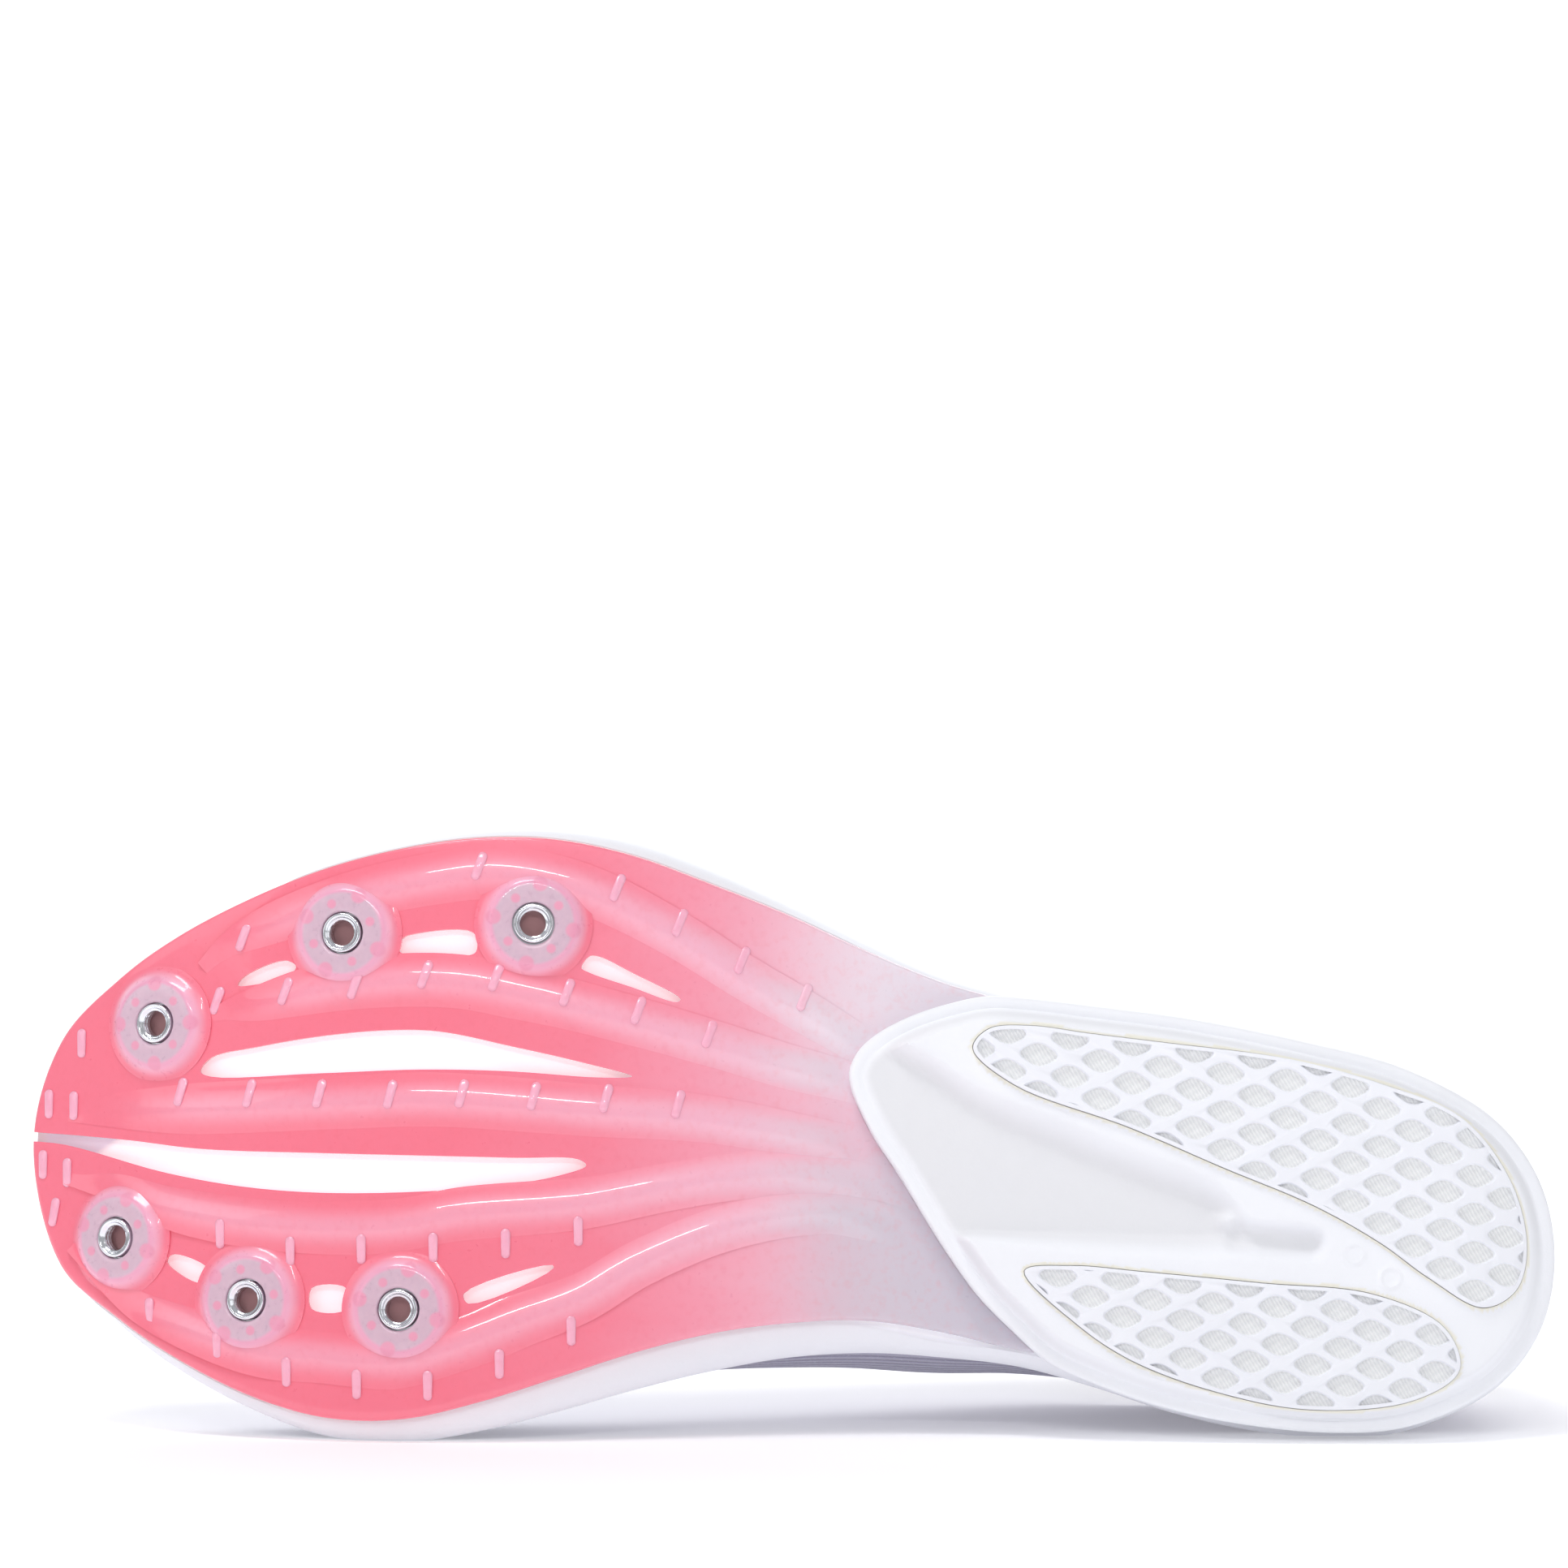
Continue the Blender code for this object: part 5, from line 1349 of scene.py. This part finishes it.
def rounded_toe(grid):
    """The rays of the fan meet on the toe, where the heights are let into a smooth fitted dome."""
    plan = (grid[..., :2] - grid[-1, RAYS.starts[:, 0].argmax(), :2]) / TOE_ROUND
    far = np.linalg.norm(plan, axis=-1)
    x, y = plan[..., 0], plan[..., 1]
    terms = np.stack([x**0, x, y, x**2, x * y, y**2, x**3, x * y**2], axis=-1)
    ring = (far > 0.6) & (far < 1.3)
    dome = terms @ np.linalg.lstsq(terms[ring], grid[ring, 2], rcond=None)[0]
    rounded = grid.copy()
    rounded[..., 2] += (dome - grid[..., 2]) * smooth_step((1.0 - far) / 0.6)
    return rounded


def climbed_length(grid):
    """The length up the wall at each point of a grid, from its first row."""
    steps = np.linalg.norm(np.diff(grid, axis=0), axis=2)
    return np.concatenate([np.zeros((1, steps.shape[1])), np.cumsum(steps, axis=0)])


def soft_rise(points, middle, size, height):
    """A soft round swelling of points about a place: a bell that falls off over size on each axis."""
    return height * np.exp(-(((points - middle) / size) ** 2).sum(axis=-1))


def surface_normals(grid):
    """Unit normals of a grid of points, from the differences along its rows and columns."""
    return unit(np.cross(np.gradient(grid, axis=1), np.gradient(grid, axis=0)))


UPPER_LEVELS = 40
upper_grid, upper_top, upper_along = upper_wall(UPPER_LEVELS)
upper_grid = rounded_toe(upper_grid)
upper_normals = surface_normals(upper_grid)
upper_middle = upper_grid.mean(axis=(0, 1))
facing = np.sign(((upper_grid - upper_middle) * upper_normals).sum(axis=-1))
upper_normals *= np.where(facing == 0.0, 1.0, facing)[..., None]
climbed = climbed_length(upper_grid)
below_top = climbed[-1] - climbed
behind = smooth_step((0.40 - upper_along / LENGTH) / 0.10)
collar_pad = smooth_step(1.0 - below_top / COLLAR_DEPTH) * behind
creases = sum(soft_rise(upper_grid, *crease) for crease in CREASES)
lean = np.sin(climbed / 0.011) * np.sin(upper_along / 0.017) * 0.00016 * smooth_step(below_top / 0.01)
away = creases + lean + 0.0007 * collar_pad
away *= smooth_step(climbed / 0.006) * smooth_step(np.where(upper_top > 0.999, below_top / 0.012, 1.0))
upper_grid = upper_grid + upper_normals * away[..., None]
margin = RAYS.ring(FEATHER_REACH - MARGIN, lambda along: foam_top(along) + GAP)
knit = Finish("knit_cloth", Roughness=0.9, Specular_IOR_Level=0.2, Sheen_Weight=0.25, Sheen_Roughness=0.5)
_, knit_up, _ = knit.axes(knit.uv())
knit_place = knit.place()
knit_rib = knit_up.wave(KNIT_RIB)
knit_stitch = knit.axes(knit_place)[0].wave(0.0011)
knit_cloud = knit.noise(knit_place, 35.0, 3.0)
knit_yarn = knit.noise(knit_place, 2200.0, 2.0)
knit_height = knit_rib * 0.7 + knit_stitch * knit_rib * 0.2 + knit_yarn * 0.2
knit_base = knit.mix(knit_cloud.between(0.3, 0.7), paint(180, 177, 196), paint(192, 189, 207))
# Painted shade: the grooves between the knit's fine ribs are painted darker
knit_groove_shaded = knit.mix(knit_rib * 0.8, paint(146, 143, 163), knit_base)
knit_fleck = knit.mix(knit_yarn.between(0.55, 0.75) * 0.35, knit_groove_shaded, paint(206, 204, 220))
knit.link(Base_Color=knit_fleck, Roughness=knit_yarn * 0.1 + 0.82)
knit.link(Normal=knit.bump(knit_height, 0.00035, 0.8))
upper_points = np.concatenate([margin[None], upper_grid])
# The knit's ribs run as level between sole and ridge at the toe as at the instep
ridge_length = climbed_length(upper_wall(UPPER_LEVELS, whole=True)[0])[-1]
knit_level = np.concatenate([climbed[:1] - MARGIN, climbed]) / ridge_length * ridge_length.mean()
knit_round = np.arange(len(RAYS.side)) / len(RAYS.side)
upper = add_piece(
    "knit_upper", upper_points, grid_faces(len(upper_points), len(RAYS.side)), knit, "knit", ["upper"],
    uv=np.stack(np.broadcast_arrays(knit_round, knit_level), axis=-1),
    marks={"pad": np.concatenate([np.zeros((1, len(RAYS.side))), collar_pad])}, sharp=60.0,
)
# The outside is the side that looks away from the shoe's inside, so the wall thickens inwards
outer = upper.data.polygons[len(upper.data.polygons) // 2]
inside_point = Vector(laid(np.array([[0.14, 0.055, 0.035]]))[0].tolist())
if outer.normal.dot(outer.center - inside_point) < 0.0:
    upper.data.flip_normals()
thickness = upper.vertex_groups.new(name="thickness")
padding = np.empty(len(upper.data.vertices), np.float32)
upper.data.attributes["pad"].data.foreach_get("value", padding)
for step in range(9):
    low, high = step / 8 - 0.0625, step / 8 + 0.0625
    chosen = np.flatnonzero((padding >= low) & (padding < high)).tolist()
    weight = (UPPER_WALL + (COLLAR_PAD - UPPER_WALL) * step / 8) / COLLAR_PAD
    thickness.add(chosen, weight, "REPLACE")
wall = upper.modifiers.new("wall", "SOLIDIFY")
wall.thickness = COLLAR_PAD
wall.offset = -1.0
wall.vertex_group = "thickness"
wall.use_even_offset = True


# Binding: a narrow folded tape, sewn round the edge of collar and throat
BINDING = 0.0013
TAPE = 0.0006
open_rays = np.flatnonzero(upper_top < 0.9985)
split = np.flatnonzero(np.diff(open_rays) > 1)
if len(split):
    open_rays = np.concatenate([open_rays[split[0] + 1 :], open_rays[: split[0] + 1]])
edge_path = upper_grid[-1, open_rays]
edge_out = upper_normals[-3, open_rays]
edge_up = unit(upper_grid[-1, open_rays] - upper_grid[-4, open_rays])
edge_wall = (UPPER_WALL + (COLLAR_PAD - UPPER_WALL) * collar_pad[-1, open_rays]) / 2
edge_centre = edge_path - edge_out * edge_wall[:, None] - edge_up * 0.0009
tape_turn = circle(12)[:, None]
tape_out = edge_out[:, None] * np.cos(tape_turn) * (edge_wall + TAPE)[:, None, None]
tape_points = edge_centre[:, None] + tape_out + edge_up[:, None] * np.sin(tape_turn) * BINDING
binding = Finish("binding_tape", Roughness=0.8, Sheen_Weight=0.2)
binding_place = binding.place()
binding_weave = binding.axes(binding_place)[0].wave(0.0006) * binding.axes(binding_place)[2].wave(0.0006)
binding_cloud = binding.noise(binding_place, 60.0)
binding_base = binding.mix(binding_cloud, paint(128, 125, 148), paint(142, 140, 162))
binding.link(Base_Color=binding.mix(binding_weave * 0.3, binding_base, paint(104, 101, 122)))
binding.link(Normal=binding.bump(binding_weave, 0.0001, 0.6))
# The grid's last row of faces joins its last section to the first
tape_faces = grid_faces(len(tape_points) + 1, len(tape_turn)) % (len(tape_points) * len(tape_turn))
add_piece("collar_binding", tape_points, tape_faces, binding, "knit", sharp=70.0)


def last_surface(along, half, side):
    """Points of the last over the middle of the foot, a distance from the spine on one side."""
    straight = np.abs(RAYS.ways[:, 0]) < 1e-9
    middle, other = straight & (RAYS.side < 0), straight & (RAYS.side > 0)
    medial = np.interp(along, RAYS.starts[middle, 0], FEATHER_REACH[middle])
    lateral = np.interp(along, RAYS.starts[other, 0][::-1], FEATHER_REACH[other][::-1])
    edge = np.where(side > 0, lateral, medial)
    flank, crown = column(LAST, 2, along), column(LAST, 3, along)
    foot = foam_top(along) + GAP
    peak = foam_top(along) + column(LAST, 1, along) * local_height(along)
    climb = climb_to_half(half, edge, flank)
    start = np.stack([along, spine_across(along)], axis=-1)
    direction = np.stack([np.zeros_like(along), side], axis=-1)
    return wall_point(start, direction, edge, foot, peak, flank, crown, belly_at(along, side), climb)


def upward_normals(grid):
    """Unit normals of a grid, turned to look up."""
    normal = surface_normals(grid)
    return np.where(normal[..., 2:] < 0.0, -normal, normal)


# Tongue: a soft padded sheet of the same cloth under the throat, thin at its sewn edges
TONGUE = 0.0025
TONGUE_HALF = (
    # along, half of its width as a share of THROAT_WIDTH
    (0.300, 0.54),
    (0.340, 0.66),
    (0.450, 0.66),
    (0.600, 0.60),
    (0.700, 0.50),
)
tongue_first, tongue_last = TONGUE_HALF[0][0], TONGUE_HALF[-1][0]
tongue_along, tongue_across = np.meshgrid(
    np.linspace(tongue_first, tongue_last, 110) * LENGTH, np.linspace(-1.0, 1.0, 49), indexing="ij"
)
tongue_half = column(TONGUE_HALF, 1, tongue_along) * THROAT_WIDTH
tongue_tip = np.clip((0.345 - tongue_along / LENGTH) / 0.045, 0.0, 1.0)
tongue_end = np.sqrt(1.0 - 0.85 * tongue_tip**2.2)
tongue_out = np.abs(tongue_across) * tongue_half * tongue_end
tongue_grid = last_surface(tongue_along, tongue_out, np.sign(tongue_across + 1e-9))
tongue_up = upward_normals(tongue_grid)
tongue_top = tongue_grid - tongue_up * (UPPER_WALL + 3.0 * GAP)
tongue_rim = np.minimum(1.0 - np.abs(tongue_across), (tongue_along / LENGTH - tongue_first) / 0.02)
tongue_rim = np.minimum(tongue_rim, (tongue_last - tongue_along / LENGTH) / 0.02)
tongue_thick = TONGUE * (0.30 + 0.70 * smooth_step(tongue_rim / 0.22))
tongue_channel = 0.00035 * np.cos(tongue_across * 3.0 * math.pi) ** 8 * smooth_step(tongue_rim / 0.3)
tongue_thin = (1.0 - smooth_step(tongue_rim / 0.12)) * 0.0006
tongue_top = tongue_top - tongue_up * (tongue_channel + tongue_thin)[..., None]
tongue_low = tongue_grid - tongue_up * (UPPER_WALL + 3.0 * GAP + 0.4 * TONGUE + 0.6 * tongue_thick)[..., None]
tongue_rows = np.concatenate([tongue_top, tongue_low[:, ::-1]], axis=1)
tongue_count = tongue_rows.shape[1]
tongue_faces = grid_faces(len(tongue_rows), tongue_count).tolist()
for start in (0, (len(tongue_rows) - 1) * tongue_count):
    half_count = tongue_count // 2
    tongue_faces += [
        [start + i, start + i + 1, start + tongue_count - 2 - i, start + tongue_count - 1 - i]
        for i in range(half_count - 1)
    ]
tongue_cloth = Finish("tongue_cloth", Roughness=0.88, Sheen_Weight=0.25)
tongue_place = tongue_cloth.place()
tongue_noise = tongue_cloth.noise(tongue_place, 1500.0, 3.0)
tongue_x, _, tongue_z = tongue_cloth.axes(tongue_place)
tongue_mesh = tongue_x.wave(0.0016) * tongue_z.wave(0.0016)
tongue_base = tongue_cloth.mix(tongue_noise, paint(132, 129, 150), paint(152, 150, 170))
tongue_open = tongue_mesh.between(0.5, 0.9) * 0.7
tongue_cloth.link(Base_Color=tongue_cloth.mix(tongue_open, tongue_base, paint(96, 93, 112)))
tongue_cloth.link(Normal=tongue_cloth.bump(tongue_noise * 0.4 + tongue_mesh * -0.6, 0.0003, 0.7))
tongue = add_piece(
    "padded_tongue", tongue_rows, tongue_faces, tongue_cloth, "tongue", ["tongue"], sharp=70.0
)


# Insole: a thin die-cut sheet of grey foam with a cloth face, laid loose on the turned-in margin
INSOLE = 0.0030
INSOLE_CLEARANCE = 0.0008
INSOLE_ROUND = 0.0012
insole_edge = FEATHER_REACH - UPPER_WALL - INSOLE_CLEARANCE
insole_rings = [(insole_edge * share, 0.0) for share in np.linspace(0.0, 1.0, 12)[:-1]]
for draw, up in rounded(INSOLE_ROUND, 9, math.pi):
    insole_rings.append((insole_edge - draw, up / (2 * INSOLE_ROUND)))
insole_rings += [((insole_edge - INSOLE_ROUND) * share, 1.0) for share in np.linspace(1.0, 0.0, 30)[1:]]
insole_levels = [
    RAYS.ring(distance, lambda along, up=up: foam_top(along) + 2 * GAP + UPPER_WALL + up * INSOLE)
    for distance, up in insole_rings
]
insole_cloth = Finish("insole_cloth", Roughness=0.95)
insole_noise = insole_cloth.noise(insole_cloth.place(), 1300.0, 3.0)
insole_wear = insole_cloth.noise(insole_cloth.place(), 30.0, 2.0)
insole_base = insole_cloth.mix(insole_wear.between(0.35, 0.65), paint(158, 158, 166), paint(172, 172, 180))
insole_fleck = insole_noise.between(0.5, 0.7) * 0.4
insole_cloth.link(Base_Color=insole_cloth.mix(insole_fleck, insole_base, paint(128, 128, 138)))
insole_cloth.link(Normal=insole_cloth.bump(insole_noise, 0.0002, 0.6))
add_piece(
    "insole_sheet", np.concatenate(insole_levels), grid_faces(len(insole_levels), len(RAYS.side)),
    insole_cloth, "insole", ["insole"], sharp=60.0,
)


# Lace and eyelets: a flat woven lace crosses the throat between five pairs of bound eyelets, goes
# down through each, and ends inside at the top pair.
LACE_WIDTH = 0.0060
LACE_THICKNESS = 0.0012
LACE_ROWS = 5
EYELET_INSET = 0.0070
EYELET_HOLE = 0.0018
EYELET_PROFILE = np.array(
    [
        # radius, height
        (0.0, 0.00012), (0.0015, 0.00012), (0.0019, 0.00030), (0.0022, 0.00062), (0.0027, 0.00060),
        (0.0031, 0.00030), (0.00325, -0.0004),
    ]
)
row_places = np.linspace(0.375, 0.625, LACE_ROWS) * LENGTH


def eyelet_half(along):
    return column(THROAT, 1, along) * THROAT_WIDTH / 2 + EYELET_INSET


def ribbon(first, last, side, over):
    """A flat strap from one eyelet over the ridge to the other; it dips into both at its ends."""
    across = np.linspace(-1.10, 1.10, 61)
    along = first + (last - first) * (np.clip(across, -1.0, 1.0) + 1.0) / 2
    half = np.abs(across) * eyelet_half(along)
    sides = np.sign(across + 1e-9) * side
    centre = last_surface(along, half, sides)
    ahead = unit(np.gradient(centre, axis=0))
    step = LACE_WIDTH / 3
    nearby = last_surface(along + step, half, sides) - last_surface(along - step, half, sides)
    normal = unit(np.cross(ahead, nearby))
    normal = np.where(normal[:, 2:] < 0.0, -normal, normal)
    dip = smooth_step((np.abs(across) - 0.90) / 0.20)
    lift = 0.0006 + over * 0.0013 * np.exp(-((across / 0.30) ** 2)) - 0.0034 * dip
    narrow = 1.0 - 0.35 * smooth_step((np.abs(across) - 0.86) / 0.18)
    middle = centre + normal * lift[:, None]
    wide = np.cross(normal, ahead) * (LACE_WIDTH / 2 * narrow)[:, None]
    turn = circle(20)[:, None, None]
    flat = np.sign(np.cos(turn)) * np.abs(np.cos(turn)) ** 0.7
    thick = np.sign(np.sin(turn)) * np.abs(np.sin(turn)) ** 0.55
    section = middle + wide * flat + normal * (1.0 + thick) * LACE_THICKNESS / 2
    length = np.concatenate([[0.0], np.cumsum(np.linalg.norm(np.diff(middle, axis=0), axis=1))])
    uv = np.stack(np.broadcast_arrays(length[:, None], np.linspace(0.0, 0.014, len(turn))), axis=-1)
    return capped(np.swapaxes(section, 0, 1)), uv, length[-1]


straps = [ribbon(row_places[-1], row_places[-1], 1.0, 0.0)]
for upper_row, lower_row in zip(row_places[:-1], row_places[1:]):
    straps.append(ribbon(lower_row, upper_row, -1.0, 0.0))
    straps.append(ribbon(lower_row, upper_row, 1.0, 1.0))
lace_cloth = Finish("lace_weave", Roughness=0.85, Sheen_Weight=0.2)
lace_run, lace_round, _ = lace_cloth.axes(lace_cloth.uv())
lace_plait = (lace_run + lace_round * 0.7).wave(0.0010) * (lace_run - lace_round * 0.7).wave(0.0010)
lace_noise = lace_cloth.noise(lace_cloth.place(), 1800.0)
lace_base = lace_cloth.mix(lace_noise, paint(198, 196, 208), paint(216, 215, 224))
lace_cloth.link(Base_Color=lace_cloth.mix(lace_plait * 0.35, lace_base, paint(160, 158, 174)))
lace_cloth.link(Normal=lace_cloth.bump(lace_plait, 0.0002, 0.7))
add_piece(
    "flat_lace", *joined([strap for strap, _, _ in straps]), lace_cloth, "lace", ["lace"],
    uv=np.concatenate([uv for _, uv, _ in straps]), sharp=60.0,
)
print("lace on the shoe, m:", round(sum(length for _, _, length in straps), 4))

eyelet = Finish("eyelet_film", Roughness=0.4, Coat_Weight=0.3)
eyelet_noise, eyelet_rim = eyelet.cloud(900.0, (118, 114, 138), (136, 132, 156))
# Painted shade: each eyelet's closed middle is painted near black to stand for the hole
eyelet_hole_shaded = eyelet.mix(eyelet.mark("hole"), eyelet_rim, paint(30, 28, 36))
eyelet.link(Base_Color=eyelet_hole_shaded, Roughness=eyelet_noise * 0.2 + 0.35)
eyelets = []
for along in row_places:
    for side in (-1.0, 1.0):
        place = np.array([along])
        half = eyelet_half(place)
        centre = last_surface(place, half, np.array([side]))[0]
        ahead = unit(last_surface(place + 0.001, half, np.array([side]))[0] - centre)
        out = last_surface(place, half + 0.001, np.array([side]))[0] - centre
        normal = unit(np.cross(ahead, out))
        normal *= np.sign(normal[2])
        turn = circle(28)[:, None]
        around = np.cos(turn) * ahead + np.sin(turn) * np.cross(normal, ahead)
        rings = [centre + around * radius + normal * height for radius, height in EYELET_PROFILE]
        eyelets.append(capped(rings))
eyelet_marks = np.tile(np.repeat(EYELET_PROFILE[:, 0] < EYELET_HOLE, 28), len(eyelets)).astype(float)
add_piece("bound_eyelets", *joined(eyelets), eyelet, "knit", marks={"hole": eyelet_marks}, sharp=60.0)
